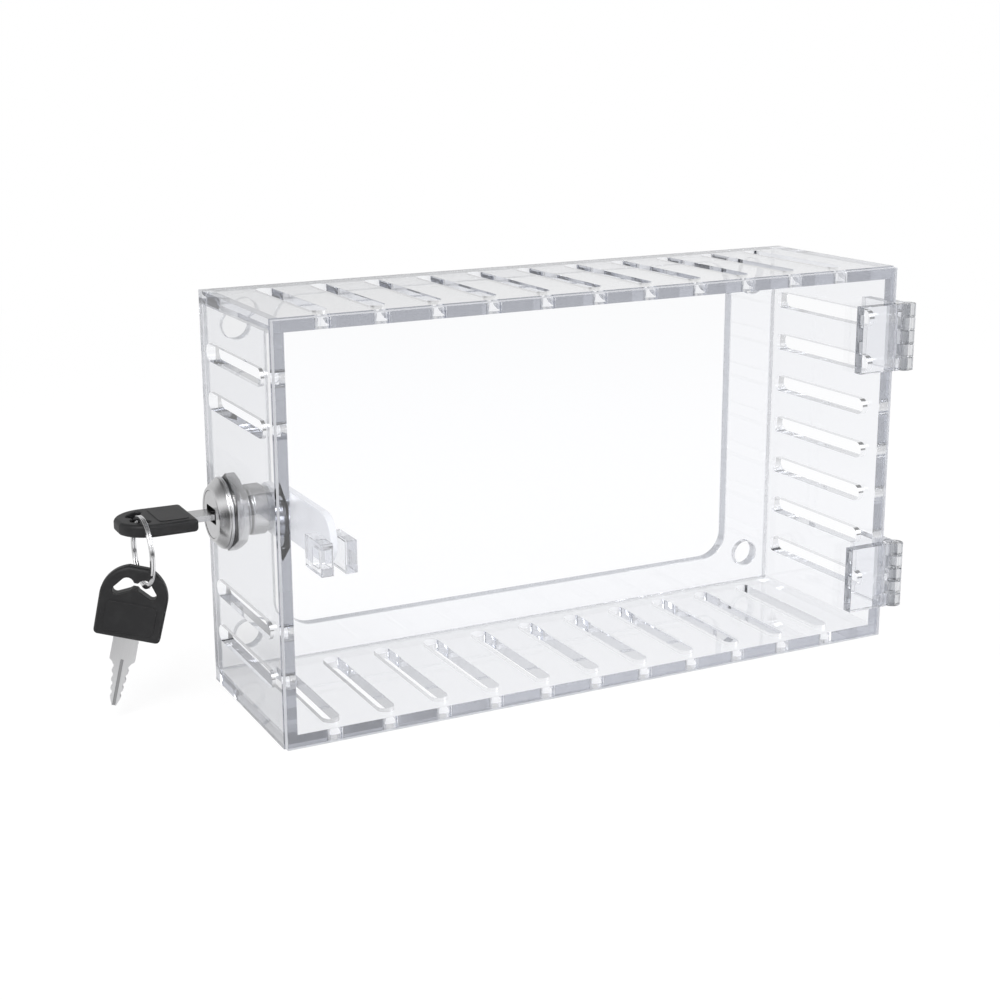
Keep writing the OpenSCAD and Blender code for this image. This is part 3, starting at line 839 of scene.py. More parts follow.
def trimmed(piece: bpy.types.Object, trim: Trim, finish: bpy.types.Material | None = None) -> None:
    """Breaks a piece's edges and shades it smooth, with its large faces kept flat.

    Args:
        piece: the object, whose mesh is replaced.
        trim: its edges.
        finish: what it is made of, where its mesh doesn't say so yet.
    """
    if trim.width:
        edge = piece.modifiers.new("edge", "BEVEL")
        edge.width = trim.width
        edge.segments = trim.segments
        edge.limit_method = "ANGLE"
        edge.angle_limit = math.radians(trim.limit)
        edge.use_clamp_overlap = True
        bake_modifiers(piece)
    if finish is not None:
        piece.data.materials.clear()
        piece.data.materials.append(finish)
    piece.data.shade_smooth()
    piece.data.set_sharp_from_angle(angle=math.radians(trim.sharp))
    even = piece.modifiers.new("even", "WEIGHTED_NORMAL")
    even.keep_sharp = True
    even.weight = 100
    bake_modifiers(piece)


def place(piece: bpy.types.Object, matrix: Matrix) -> None:
    """Moves a piece's mesh to its place in the frame, with its object left at the origin."""
    piece.data.transform(matrix)
    piece.data.update()


def stand_in(piece: bpy.types.Object, body: Body, node: str) -> None:
    """Hands a finished piece to the frame.

    Args:
        piece: the object.
        body: the body that it rides on.
        node: the node that it stands for.
    """
    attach(piece, body.value)
    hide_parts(node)
    LOG.info("%s: %d faces", piece.name, len(piece.data.polygons))


def hand_over(piece: bpy.types.Object, body: Body, node: str, trim: Trim,
              finish: bpy.types.Material | None = None, stand: Matrix | None = None) -> None:
    """Stands a piece in its place, trims it and hands it to the frame.

    Args:
        piece: the object.
        body: the body that it rides on.
        node: the node that it stands for.
        trim: its edges.
        finish: what it is made of, where its mesh doesn't say so yet.
        stand: its place, where it isn't there yet.
    """
    if stand is not None:
        place(piece, stand)
    trimmed(piece, trim, finish)
    stand_in(piece, body, node)


def shifted(loop: Loop, distance: float) -> Loop:
    """Moves an outline sideways by a distance, with mitred corners.

    Args:
        loop: a counter-clockwise outline.
        distance: how far to move it, inwards where it is above 0.

    Returns:
        The moved outline, with as many points.
    """
    moved = []
    for before, here, after in zip(loop[-1:] + loop[:-1], loop, loop[1:] + loop[:1]):
        first = Vector((here[0] - before[0], here[1] - before[1])).normalized()
        second = Vector((after[0] - here[0], after[1] - here[1])).normalized()
        normal = Vector((-first.y - second.y, first.x + second.x)).normalized()
        stretch = max(normal.dot(Vector((-first.y, first.x))), LEAST_MITRE)
        moved.append((here[0] + normal.x * distance / stretch, here[1] + normal.y * distance / stretch))
    return moved


def rounded_plate(name: str, outer: Loop, holes: list[Loop], thickness: float, outer_r: float,
                  hole_r: float = 0.0, steps: int = 5) -> bpy.types.Object:
    """Makes a plate with round edges, centred on z = 0.

    Args:
        name: the piece's name.
        outer: its counter-clockwise outline.
        holes: counter-clockwise outlines of its openings.
        thickness: its thickness.
        outer_r: radius of the outer edges.
        hole_r: radius of the openings' edges.
        steps: segments along each edge's quarter circle.

    Returns:
        The piece, as one closed shell.
    """
    mesh = bpy.data.meshes.new(name)
    ends: tuple[list, list] = ([], [])
    quarter = [math.pi / 2 * i / steps for i in range(steps + 1)]
    with reshaped(mesh) as shape:
        for number, loop in enumerate([outer] + holes):
            radius, inward = (hole_r, -1.0) if number else (outer_r, 1.0)
            upper = [(radius * (1 - math.cos(a)), thickness / 2 - radius * (1 - math.sin(a)))
                     for a in quarter]
            upper.append((radius * FLAT_RIM + 0.02 * MM, thickness / 2))
            levels = [(inset, -z) for inset, z in reversed(upper)] + upper
            rows = [[shape.verts.new((x, y, z)) for x, y in shifted(loop, inward * inset)]
                    for inset, z in levels]
            pairs = [(i, (i + 1) % len(loop)) for i in range(len(loop))]
            for low, high in zip(rows, rows[1:]):
                for i, j in pairs:
                    shape.faces.new((low[i], low[j], high[j], high[i]))
            for end, row in zip(ends, (rows[0], rows[-1])):
                end += [shape.edges.get((row[i], row[j])) for i, j in pairs]
        for end in ends:
            bmesh.ops.triangle_fill(shape, use_beauty=True, edges=end)
    return new_piece(name, mesh)


def ring_of_rows(name: str, rows: list[list[Vector]]) -> bpy.types.Object:
    """Joins rings of points into one closed shell, with the last row joined to the first.

    Args:
        name: the piece's name.
        rows: rings with equal numbers of points.

    Returns:
        The piece.
    """
    count = len(rows[0])
    faces = []
    for r in range(len(rows)):
        low, high = r * count, (r + 1) % len(rows) * count
        faces += [(low + i, low + (i + 1) % count, high + (i + 1) % count, high + i) for i in range(count)]
    mesh = bpy.data.meshes.new(name)
    mesh.from_pydata([point for row in rows for point in row], [], faces)
    with reshaped(mesh) as shape:
        bmesh.ops.remove_doubles(shape, verts=shape.verts, dist=0.0005 * MM)
    return new_piece(name, mesh)


def merged_copy(node: str, name: str, pressed: tuple[int, float, float] | None = None) -> bpy.types.Object:
    """Copies a node's mesh as one clean shell with flat faces.

    Args:
        node: the node to copy.
        name: the new piece's name.
        pressed: an axis number, a level and a distance by which the points there move, for a bonded face.

    Returns:
        The copy.
    """
    mesh = frame["nodes"][node].data.copy()
    mesh.name = name
    mesh.materials.clear()
    with reshaped(mesh) as shape:
        bmesh.ops.remove_doubles(shape, verts=shape.verts, dist=0.001 * MM)
        bmesh.ops.dissolve_limit(shape, angle_limit=math.radians(0.5), verts=shape.verts, edges=shape.edges)
        if pressed is not None:
            axis, level, distance = pressed
            for point in shape.verts:
                if abs(point.co[axis] - level) < 0.005 * MM:
                    point.co[axis] += distance
    return new_piece(name, mesh)


def joined(name: str, pieces: list[bpy.types.Object]) -> bpy.types.Object:
    """Puts several shells into one piece.

    Args:
        name: the new piece's name.
        pieces: the shells, which are used up.

    Returns:
        The piece.
    """
    mesh = bpy.data.meshes.new(name)
    with reshaped(mesh) as shape:
        for piece in pieces:
            shape.from_mesh(piece.data)
            bpy.data.objects.remove(piece)
    return new_piece(name, mesh)


HEIGHT_ALONG_Y = Matrix(((1, 0, 0, 0), (0, 0, -1, 0), (0, 1, 0, 0), (0, 0, 0, 1)))
HEIGHT_ALONG_X = Matrix(((0, 0, -1, 0), (0, 1, 0, 0), (1, 0, 0, 0), (0, 0, 0, 1)))


@dataclass
class Case:
    """Five clear sheets bonded into a case, with vent slots, a window and four wall holes."""

    acrylic: bpy.types.Material
    back_acrylic: bpy.types.Material
    plain: CutSheetTree
    vented: CutSheetTree = field(default_factory=lambda: CutSheetTree("vented sheet", True))
    vent_w: float = 6 * MM
    level_pitch: float = 20 * MM
    side_pitch: float = 16.75 * MM
    level_count: int = 11
    side_count: int = 7
    level_margin: float = 7.5 * MM
    side_front: float = 9 * MM
    side_back: float = 6 * MM
    clear_of_lock: float = 25 * MM
    rail_w: float = 21 * MM
    lower_rail: float = 12.5 * MM
    upper_rail: float = 3.5 * MM
    window_r: float = 10 * MM
    wall_hole_r: float = 5 * MM
    lower_hole: float = 12 * MM
    upper_hole: float = 8 * MM
    lock_hole_r: float = 9.06 * MM
    lock_hole_flats: float = 8.26 * MM
    trim: Trim = Trim(0.25 * MM)
    bond: float = 0.02 * MM

    def level_sheet(self, node: str) -> None:
        """Makes the top or the bottom sheet.

        Args:
            node: the sheet's node.
        """
        low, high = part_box(node)
        outline = box_loop((low.x, low.y), (high.x, high.y))
        sheet = self.vented.make(
            node + "_sheet", loops_mesh(node, [outline]), self.acrylic, Thickness=high.z - low.z,
            Slot_Length=high.y - low.y - 2 * self.level_margin, Slot_Width=self.vent_w,
            Slot_Pitch=self.level_pitch, Slot_Count=self.level_count,
            Slot_Centre=(low.y + high.y) / 2, Clear_Reach=0.0)
        hand_over(sheet, Body.CASE, node, self.trim,
                  stand=Matrix.Translation((0, 0, low.z)))

    def side_sheet(self, node: str, lock: Vector | None = None) -> None:
        """Makes a side sheet, drawn with its height along x and its depth along y.

        Args:
            node: the sheet's node.
            lock: a point on the lock's axis, where the sheet carries the lock.
        """
        low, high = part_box(node)
        middle = (low.z + high.z) / 2
        half_h = (high.z - low.z) / 2 + self.bond
        loops = [box_loop((-half_h, low.y), (half_h, high.y))]
        reach, centre = 0.0, 0.0
        if lock is not None:
            centre, reach = lock.z - middle, self.clear_of_lock
            flats = self.lock_hole_flats
            hole = circle_loop((centre, lock.y), self.lock_hole_r, 96)
            loops.append([(min(max(x, centre - flats), centre + flats), y) for x, y in hole])
        slot_l = high.y - low.y - self.side_front - self.side_back
        sheet = self.vented.make(
            node + "_sheet", loops_mesh(node, loops), self.acrylic, Thickness=high.x - low.x,
            Slot_Length=slot_l, Slot_Width=self.vent_w, Slot_Pitch=self.side_pitch,
            Slot_Count=self.side_count, Slot_Centre=low.y + self.side_front + slot_l / 2,
            Clear_Middle=centre, Clear_Reach=reach)
        hand_over(sheet, Body.CASE, node, self.trim,
                  stand=Matrix.Translation((high.x, 0, middle)) @ HEIGHT_ALONG_X)

    def back_sheet(self, node: str) -> None:
        """Makes the back sheet with its window and its wall holes, drawn with its height along y.

        Args:
            node: the sheet's node.
        """
        low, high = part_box(node)
        sill, lintel = low.z + self.lower_rail, high.z - self.upper_rail
        window_w = high.x - low.x - 2 * self.rail_w
        hole_x = (high.x - low.x - self.rail_w) / 2
        loops = [
            box_loop((low.x + self.bond, low.z + self.bond), (high.x - self.bond, high.z - self.bond)),
            rounded_loop((0, (sill + lintel) / 2), window_w, lintel - sill, self.window_r)]
        loops += [circle_loop((x, z), self.wall_hole_r) for x in (-hole_x, hole_x)
                  for z in (low.z + self.lower_hole, high.z - self.upper_hole)]
        sheet = self.plain.make(
            node + "_sheet", loops_mesh(node, loops), self.back_acrylic, Thickness=high.y - low.y)
        hand_over(sheet, Body.CASE, node, self.trim,
                  stand=Matrix.Translation((0, high.y, 0)) @ HEIGHT_ALONG_Y)

    def build(self) -> None:
        """Makes all five sheets."""
        self.level_sheet("top_panel")
        self.level_sheet("bottom_panel")
        self.side_sheet("left_panel", LOCK_AT)
        self.side_sheet("right_panel")
        self.back_sheet("back_panel")


@dataclass
class Door:
    """The clear door panel and the two clear cheeks that the cam turns in between."""

    acrylic: bpy.types.Material
    cheek_acrylic: bpy.types.Material
    sheets: CutSheetTree
    trim: Trim = Trim(0.3 * MM, 3, sharp=40.0)
    cheek_trim: Trim = Trim(0.2 * MM, 2)
    bond: float = 0.02 * MM

    def build(self) -> None:
        """Makes the door's sheet and the cheeks, which are bonded to its inner face."""
        node = "door_panel"
        low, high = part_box(node)
        outline = box_loop((low.x, low.z), (high.x, high.z))
        sheet = self.sheets.make(
            "door_sheet", loops_mesh(node, [outline]), self.acrylic, Thickness=high.y - low.y)
        hand_over(sheet, Body.DOOR, node, self.trim,
                  stand=Matrix.Translation((0, high.y, 0)) @ HEIGHT_ALONG_Y)
        for node in ("catch_outer_cheek", "catch_inner_cheek"):
            cheek = merged_copy(node, node + "_block", (1, high.y, -self.bond))
            hand_over(cheek, Body.DOOR, node, self.cheek_trim, self.cheek_acrylic)


@dataclass
class Hinges:
    """Two moulded clear hinges: each has a leaf on the side panel, a leaf on the door and a pin."""

    side_plastic: bpy.types.Material
    door_plastic: bpy.types.Material
    trim: Trim = Trim(0.25 * MM, 2, 40.0, 35.0)
    pin_trim: Trim = Trim(0.3 * MM, 2, 60.0, 35.0)
    bond: float = 0.02 * MM

    def leaf(self, node: str, body: Body, axis: int, level: float, press: float) -> None:
        """Makes one leaf with its knuckles.

        Args:
            node: the leaf's node.
            body: what it rides on.
            axis: number of the axis across its bonded face.
            level: place of that face.
            press: how far the face reaches into what it is bonded to.
        """
        leaf = merged_copy(node, node + "_moulding", (axis, level, press))
        plastic = self.side_plastic if body is Body.CASE else self.door_plastic
        hand_over(leaf, body, node, self.trim, plastic)

    def build(self) -> None:
        """Makes both hinges."""
        door_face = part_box("door_panel")[0].y
        side_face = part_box("right_panel")[1].x
        for name in ("upper_hinge", "lower_hinge"):
            self.leaf(name + "_side_leaf", Body.CASE, 0, side_face, -self.bond)
            self.leaf(name + "_door_leaf", Body.DOOR, 1, door_face, self.bond)
            pin = merged_copy(name + "_pin", name + "_rod")
            hand_over(pin, Body.CASE, name + "_pin", self.pin_trim, self.side_plastic)


@dataclass
class CamLock:
    """The cam lock in the left panel, drawn along its axis from the panel's outer face inwards."""

    plated: bpy.types.Material
    threaded: bpy.types.Material
    zinc: bpy.types.Material
    brass: bpy.types.Material
    cam_plastic: bpy.types.Material
    keyway_shade: bpy.types.Material
    coils: CoilTree
    mouth_half_h: float = 2.7 * MM
    mouth_half_w: float = 4.9 * MM
    mouth_depth: float = 1.3 * MM
    mouth_r: float = 0.8 * MM
    mouth_margin: float = 0.02 * MM
    shade_from: float = 0.16 * MM
    shade_to: float = 9.0 * MM
    plug_recess: float = 0.2 * MM
    plug_trim: Trim = Trim(0.14 * MM, 2, 60.0, 32.0)
    nut_trim: Trim = Trim(0.3 * MM, 3, 40.0, 32.0)
    wafer_trim: Trim = Trim(0.06 * MM, 1, 40.0, 32.0)
    stop_trim: Trim = Trim(0.15 * MM, 2, 40.0, 32.0)
    washer_trim: Trim = Trim(0.12 * MM, 2, 40.0, 32.0)
    screw_trim: Trim = Trim(0.08 * MM, 2, 50.0, 32.0)
    flange_r: float = 12.5 * MM
    front_r: float = 9.4 * MM
    flange_l: float = 4.5 * MM
    rim_l: float = 1.2 * MM
    lip: float = 0.25 * MM
    groove: float = 0.22 * MM
    shoulder_r: float = 0.3 * MM
    seat_gap: float = 0.02 * MM
    body_r: float = 9.0 * MM
    flats: float = 8.2 * MM
    body_l: float = 17.0 * MM
    body_edge: float = 0.35 * MM
    collar_l: float = 4.7 * MM
    thread_from: float = 4.9 * MM
    thread_pitch: float = 1.5 * MM
    thread_depth: float = 0.45 * MM
    head_bore_r: float = 8.28 * MM
    bore_r: float = 6.08 * MM
    step_at: float = -1.6 * MM
    channel_r: float = 7.3 * MM
    channel_half_h: float = 3.7 * MM
    channel_from: float = 1.3 * MM
    channel_to: float = 13.3 * MM
    stop_inner_r: float = 6.8 * MM
    stop_w: float = 2.4 * MM
    stop_t: float = 1.1 * MM
    stop_l: float = 1.7 * MM
    stop_sunk: float = 0.5 * MM
    stop_edge: float = 0.12 * MM
    around: int = 144
    wafer_first: float = 2.5 * MM
    wafer_pitch: float = 2.4 * MM
    wafer_count: int = 5
    spring_x: float = -4.25 * MM
    spring_l: float = 2.5 * MM
    spring_r: float = 0.65 * MM
    spring_wire: float = 0.26 * MM
    spring_turns: float = 6.0
    cam_hole_w: float = 8.1 * MM
    cam_hole_r: float = 0.4 * MM
    cam_edge: float = 0.35 * MM
    cam_hole_edge: float = 0.1 * MM

    def axis(self) -> Matrix:
        """Place of the lock: z runs inwards along its axis and x points down."""
        return Matrix.Translation(LOCK_AT) @ Matrix.Rotation(math.radians(90), 4, "Y")

    def outside(self) -> list[Point]:
        """Section of the housing's outside, from its lip to the thread's start.

        Returns:
            Radius and place along the axis of each point.
        """
        face, lip = -self.flange_l, self.lip
        points = [(self.head_bore_r, face + lip), (self.head_bore_r + 0.08 * MM, face + 0.07 * MM),
                  (self.head_bore_r + lip, face), (self.front_r - 0.3 * MM, face),
                  (self.front_r - 0.08 * MM, face + 0.06 * MM)]
        cone_r, cone_at = self.flange_r - 0.32 * MM, -self.rim_l - 0.25 * MM
        first_r, first_at = self.front_r + 0.05 * MM, face + 0.16 * MM
        for share in (i / 6 for i in range(7)):
            swell = 0.16 * MM * math.sin(math.pi * share)
            points.append((first_r + (cone_r - first_r) * share + swell * 0.2,
                           first_at + (cone_at - first_at) * share - swell * 0.3))
        groove_r, shoulder = cone_r - self.groove, self.flange_r - self.shoulder_r
        points += [(cone_r + 0.02 * MM, cone_at + 0.1 * MM), (groove_r, cone_at + 0.18 * MM),
                   (groove_r, cone_at + 0.32 * MM), (cone_r + 0.1 * MM, cone_at + 0.38 * MM)]
        points += arc((shoulder, cone_at + 0.68 * MM), self.shoulder_r, -90, 0, 4)
        points += [(self.flange_r, -0.2 * MM), (self.flange_r - 0.06 * MM, -0.08 * MM),
                   (self.flange_r - 0.2 * MM, -self.seat_gap), (self.body_r + 0.02 * MM, -self.seat_gap),
                   (self.body_r, 0.0), (self.body_r, self.thread_from)]
        return points

    def crest(self, turn: float, at: float, depth: float) -> float:
        """Radius of the thread.

        Args:
            turn: an angle about the axis.
            at: a place along it.
            depth: the thread's depth there.

        Returns:
            The radius.
        """
        phase = (at / self.thread_pitch - turn / (2 * math.pi)) % 1.0
        ramp = min(1.0, max(0.0, abs(phase - 0.5) * 2 * 1.25 - 0.12))
        return self.body_r - depth * (1 - ramp)

    def bore(self, turn: float, channelled: bool) -> float:
        """Radius of the bore.

        Args:
            turn: an angle about the axis.
            channelled: whether the wafers' channels run there.

        Returns:
            The radius.
        """
        sine = abs(math.sin(turn))
        wide = self.channel_r / sine if sine > 0.5 else self.bore_r
        inside = channelled and abs(wide * math.cos(turn)) <= self.channel_half_h
        return wide if inside else self.bore_r

    def housing_rows(self) -> list[list[Vector]]:
        """Rings of points over the housing's outside and back through its bore.

        Returns:
            The rings, with a helical thread and two flats.
        """
        turns = [2 * math.pi * i / self.around for i in range(self.around)]
        rows = []

        def add(place_at: float, radii: list[float], flattened: bool = True) -> None:
            """Adds one ring of points, cut to the flats where it is on the body.

            Args:
                place_at: its place along the axis.
                radii: the radius at each angle.
                flattened: whether the flats cut it.
            """
            most = self.flats if flattened else self.flange_r
            ring = [(reach * math.cos(turn), reach * math.sin(turn)) for turn, reach in zip(turns, radii)]
            rows.append([Vector((min(max(x, -most), most), y, place_at)) for x, y in ring])

        for radius, place_at in self.outside():
            add(place_at, [radius] * self.around, place_at >= -self.seat_gap and radius <= self.body_r)
        thread_to = self.body_l - self.collar_l
        steps = round((thread_to - self.thread_from) / (self.thread_pitch / 10))
        for i in range(1, steps + 1):
            place_at = self.thread_from + (thread_to - self.thread_from) * i / steps
            depth = self.thread_depth * min(1.0, i / 6, (steps - i) / 4)
            add(place_at, [self.crest(turn, place_at, depth) for turn in turns])
        edge = self.body_edge
        for radius, place_at in ((self.body_r, thread_to + 0.1 * MM), (self.body_r, self.body_l - edge),
                                 (self.body_r - edge, self.body_l), (self.bore_r + 0.2 * MM, self.body_l)):
            add(place_at, [radius] * self.around)
        for place_at in (self.body_l - 0.2 * MM, self.channel_to + 0.01 * MM, self.channel_to,
                         self.channel_from, self.channel_from - 0.01 * MM, self.step_at + 0.01 * MM):
            channelled = self.channel_from <= place_at <= self.channel_to
            add(place_at, [self.bore(turn, channelled) for turn in turns], False)
        for radius in (self.bore_r + 0.01 * MM, self.head_bore_r):
            add(self.step_at, [radius] * self.around, False)
        return rows

    def housing(self) -> None:
        """Makes the housing with its flange, thread, flats, bore and stop."""
        shell = ring_of_rows("housing shell", self.housing_rows())
        section = box_loop((self.stop_inner_r, -self.stop_w / 2),
                           (self.stop_inner_r + self.stop_t, self.stop_w / 2))
        stop = rounded_plate("stop", section, [], self.stop_l + self.stop_sunk, self.stop_edge, steps=2)
        place(stop, Matrix.Translation((0, 0, self.body_l + (self.stop_l - self.stop_sunk) / 2)))
        hand_over(joined("lock_housing_body", [shell, stop]), Body.CASE, "lock_housing",
                  Trim(sharp=32.0), self.threaded, self.axis())

    def plug(self) -> None:
        """Makes the plug, with the keyway's mouth cut around the key's neck and painted shade inside the
        mouth and keyway.
        """
        plug = merged_copy("lock_plug", "lock_plug_barrel")
        face = self.plug_recess - self.flange_l
        outline = rounded_loop((0.0, 0.0), 2 * self.mouth_half_h, 2 * self.mouth_half_w, self.mouth_r, 5)
        mouth = rounded_plate("keyway mouth", outline, [], 2 * self.mouth_depth, 0.05 * MM, steps=1)
        place(mouth, self.axis() @ Matrix.Translation((0, 0, face)))
        cut = plug.modifiers.new("mouth", "BOOLEAN")
        cut.operation = "DIFFERENCE"
        cut.solver = "EXACT"
        cut.object = mouth
        bake_modifiers(plug)
        bpy.data.objects.remove(mouth)
        trimmed(plug, self.plug_trim, self.plated)
        plug.data.materials.append(self.keyway_shade)
        to_lock = self.axis().inverted()
        # faces inside the mouth and the keyway get a near black colour: painted shade
        for side in plug.data.polygons:
            at = to_lock @ side.center
            inside = (abs(at.x) < self.mouth_half_h + self.mouth_margin
                      and abs(at.y) < self.mouth_half_w + self.mouth_margin
                      and self.shade_from < at.z - face < self.shade_to)
            side.material_index = int(inside)
        stand_in(plug, Body.PLUG, "lock_plug")

    def springs(self) -> None:
        """Winds the wafers' springs."""
        wire = self.spring_wire
        springs = self.coils.wind(
            "wafer_spring_coils", self.zinc, Radius=self.spring_r - wire / 2, Turns=self.spring_turns,
            Height=self.spring_l - wire * 1.4, Step=0.0, Wire_Width=wire, Wire_Height=wire,
            Wire_Corner=wire * 0.45, Pitch=self.wafer_pitch, Turn_Points=20, Count=self.wafer_count)
        row_along_axis = Matrix(((0, 1, 0, self.spring_x), (0, 0, 1, wire * 0.7),
                                 (1, 0, 0, self.wafer_first), (0, 0, 0, 1)))
        hand_over(springs, Body.PLUG, "wafer_springs", Trim(sharp=40.0),
                  stand=self.axis() @ row_along_axis)

    def cam(self) -> None:
        """Makes the cam: a long plate with round ends and a square hole."""
        to_lock = self.axis().inverted()
        near, far = (to_lock @ Vector(corner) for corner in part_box("cam"))
        half_w = abs(far.x - near.x) / 2
        across = (near.x + far.x) / 2
        top, bottom = max(near.y, far.y) - half_w, min(near.y, far.y) + half_w
        outline = arc((across, top), half_w, 0, 180, 32) + arc((across, bottom), half_w, 180, 360, 32)
        hole = rounded_loop((0.0, 0.0), self.cam_hole_w, self.cam_hole_w, self.cam_hole_r, 3)
        plate = rounded_plate("cam_plate", outline, [hole], abs(far.z - near.z), self.cam_edge,
                              self.cam_hole_edge, 4)
        hand_over(plate, Body.PLUG, "cam", Trim(), self.cam_plastic,
                  self.axis() @ Matrix.Translation((0, 0, (near.z + far.z) / 2)))

    def build(self) -> None:
        """Makes every piece of the lock."""
        self.housing()
        steel, zinc = Slot.SMALL_STEEL, self.zinc
        hand_over(merged_copy("lock_nut", "lock_nut_hexagon"), Body.CASE, "lock_nut",
                  self.nut_trim, self.plated)
        self.plug()
        hand_over(merged_copy("lock_wafers", "lock_wafer_plates"), Body.PLUG, "lock_wafers",
                  self.wafer_trim, self.brass)
        self.springs()
        hand_over(merged_copy("stop_washer", "stop_washer_disc"), Body.PLUG, "stop_washer",
                  self.stop_trim, zinc)
        self.cam()
        hand_over(merged_copy("cam_washer", "cam_washer_disc"), Body.PLUG, "cam_washer",
                  self.washer_trim, zinc)
        hand_over(merged_copy("cam_screw", "cam_screw_body"), Body.PLUG, "cam_screw",
                  self.screw_trim, zinc)


@dataclass
class Key:
    """A flat key: a cut steel blade in a black moulded head with a slot for the ring.

    The key is drawn flat, with u across its head and v from the head's base towards its tip.
    """

    metal: bpy.types.Material
    groove_painted_shade: bpy.types.Material
    moulding: bpy.types.Material
    prefix: str
    body: Body
    stand: Matrix
    blade_trim: Trim = Trim(0.1 * MM, 2, 30.0, 32.0)
    blade_half_t: float = 1.0 * MM
    groove_half_w: float = 0.75 * MM
    groove_from: float = 0.12 * MM
    base_half_w: float = 11.2 * MM
    base_r: float = 1.5 * MM
    round_r: float = 11.4 * MM
    round_at: float = 14.36 * MM
    length: float = 25.3 * MM
    thickness: float = 4.4 * MM
    edge_r: float = 1.25 * MM
    slot_edge_r: float = 0.5 * MM
    inner_lobe: Point = (2.9 * MM, 19.05 * MM)
    inner_lobe_r: float = 2.3 * MM
    outer_lobe: Point = (6.0 * MM, 16.5 * MM)
    outer_lobe_r: float = 1.4 * MM
    neck_half_h: float = 1.0 * MM
    neck_at: float = 18.85 * MM
    neck_fillet: float = 0.6 * MM
    field_middle: Point = (0.0, 7.45 * MM)
    field_w: float = 17.0 * MM
    field_h: float = 10.5 * MM
    field_r: float = 1.6 * MM
    field_t: float = 0.25 * MM
    field_edge: float = 0.18 * MM

    def outline(self) -> Loop:
        """Draws the head: a straight base, slightly spread sides and a round end with a short flat.

        Returns:
            The outline's points.
        """
        turn = math.degrees(math.asin((self.length - self.round_at) / self.round_r))
        corner = self.base_half_w - self.base_r
        points = arc((corner, self.base_r), self.base_r, -90, 0, 5)
        points += arc((0.0, self.round_at), self.round_r, 0, turn, 24)
        points += arc((0.0, self.round_at), self.round_r, 180 - turn, 180, 24)
        points += arc((-corner, self.base_r), self.base_r, 180, 270, 5)
        return points

    def neck_arc(self, side: int) -> tuple[Point, float]:
        """Finds where a neck's fillet lies.

        Args:
            side: 1 for the upper fillet, -1 for the lower one.

        Returns:
            The fillet's centre and the angle in degrees of its end on the inner lobe.
        """
        across, up = self.inner_lobe
        at = self.neck_at + side * (self.neck_half_h + self.neck_fillet)
        reach = self.inner_lobe_r + self.neck_fillet
        centre = (across - math.sqrt(reach ** 2 - (at - up) ** 2), at)
        return centre, math.degrees(math.atan2(up - at, across - centre[0]))

    def slot(self) -> Loop:
        """Draws the ring's slot: two drooping lobes joined by a narrow neck.

        Returns:
            The outline's points.
        """
        ahead = Vector(self.outer_lobe) - Vector(self.inner_lobe)
        lean = math.degrees(math.acos((self.inner_lobe_r - self.outer_lobe_r) / ahead.length))
        heading = math.degrees(math.atan2(ahead.y, ahead.x))
        upper, upper_turn = self.neck_arc(1)
        lower, lower_turn = self.neck_arc(-1)
        right = []
        for centre, radius, start, end, steps in (
                (lower, self.neck_fillet, 90, lower_turn, 6),
                (self.inner_lobe, self.inner_lobe_r, lower_turn + 180, heading - lean + 360, 6),
                (self.outer_lobe, self.outer_lobe_r, heading - lean, heading + lean, 18),
                (self.inner_lobe, self.inner_lobe_r, heading + lean, upper_turn + 180, 18),
                (upper, self.neck_fillet, upper_turn, -90, 6)):
            right += arc(centre, radius, start, end, steps)
        half = [p for i, p in enumerate(right) if i == 0 or math.dist(p, right[i - 1]) > 0.001 * MM]
        return half + [(-x, y) for x, y in reversed(half)]

    def head(self) -> None:
        """Makes the head with its slot and its slightly raised field."""
        shell = rounded_plate("head shell", self.outline(), [self.slot()], self.thickness, self.edge_r,
                              self.slot_edge_r)
        edges = rounded_loop(self.field_middle, self.field_w, self.field_h, self.field_r, 6)
        raised = rounded_plate(
            "field", edges, [], self.thickness + 2 * self.field_t, self.field_edge, steps=3)
        node = self.prefix + "key_head"
        hand_over(joined(node + "_moulding", [shell, raised]), self.body, node,
                  Trim(sharp=35.0), self.moulding, self.stand)

    def blade(self) -> None:
        """Makes the blade, with its edges broken and painted shade in its groove."""
        node = self.prefix + "key_blade"
        blade = merged_copy(node, node + "_metal")
        trimmed(blade, self.blade_trim, self.metal)
        blade.data.materials.append(self.groove_painted_shade)
        to_key = self.stand.inverted()
        for side in blade.data.polygons:
            at, facing = to_key @ side.center, to_key.to_3x3() @ side.normal
            sunk = abs(at.z) < self.blade_half_t - self.groove_from and abs(at.x) < self.groove_half_w
            # the groove's faces get the darker steel: painted shade
            side.material_index = int(sunk and abs(facing.y) < 0.7)
        stand_in(blade, self.body, node)

    def build(self) -> None:
        """Makes the key's two pieces."""
        self.blade()
        self.head()


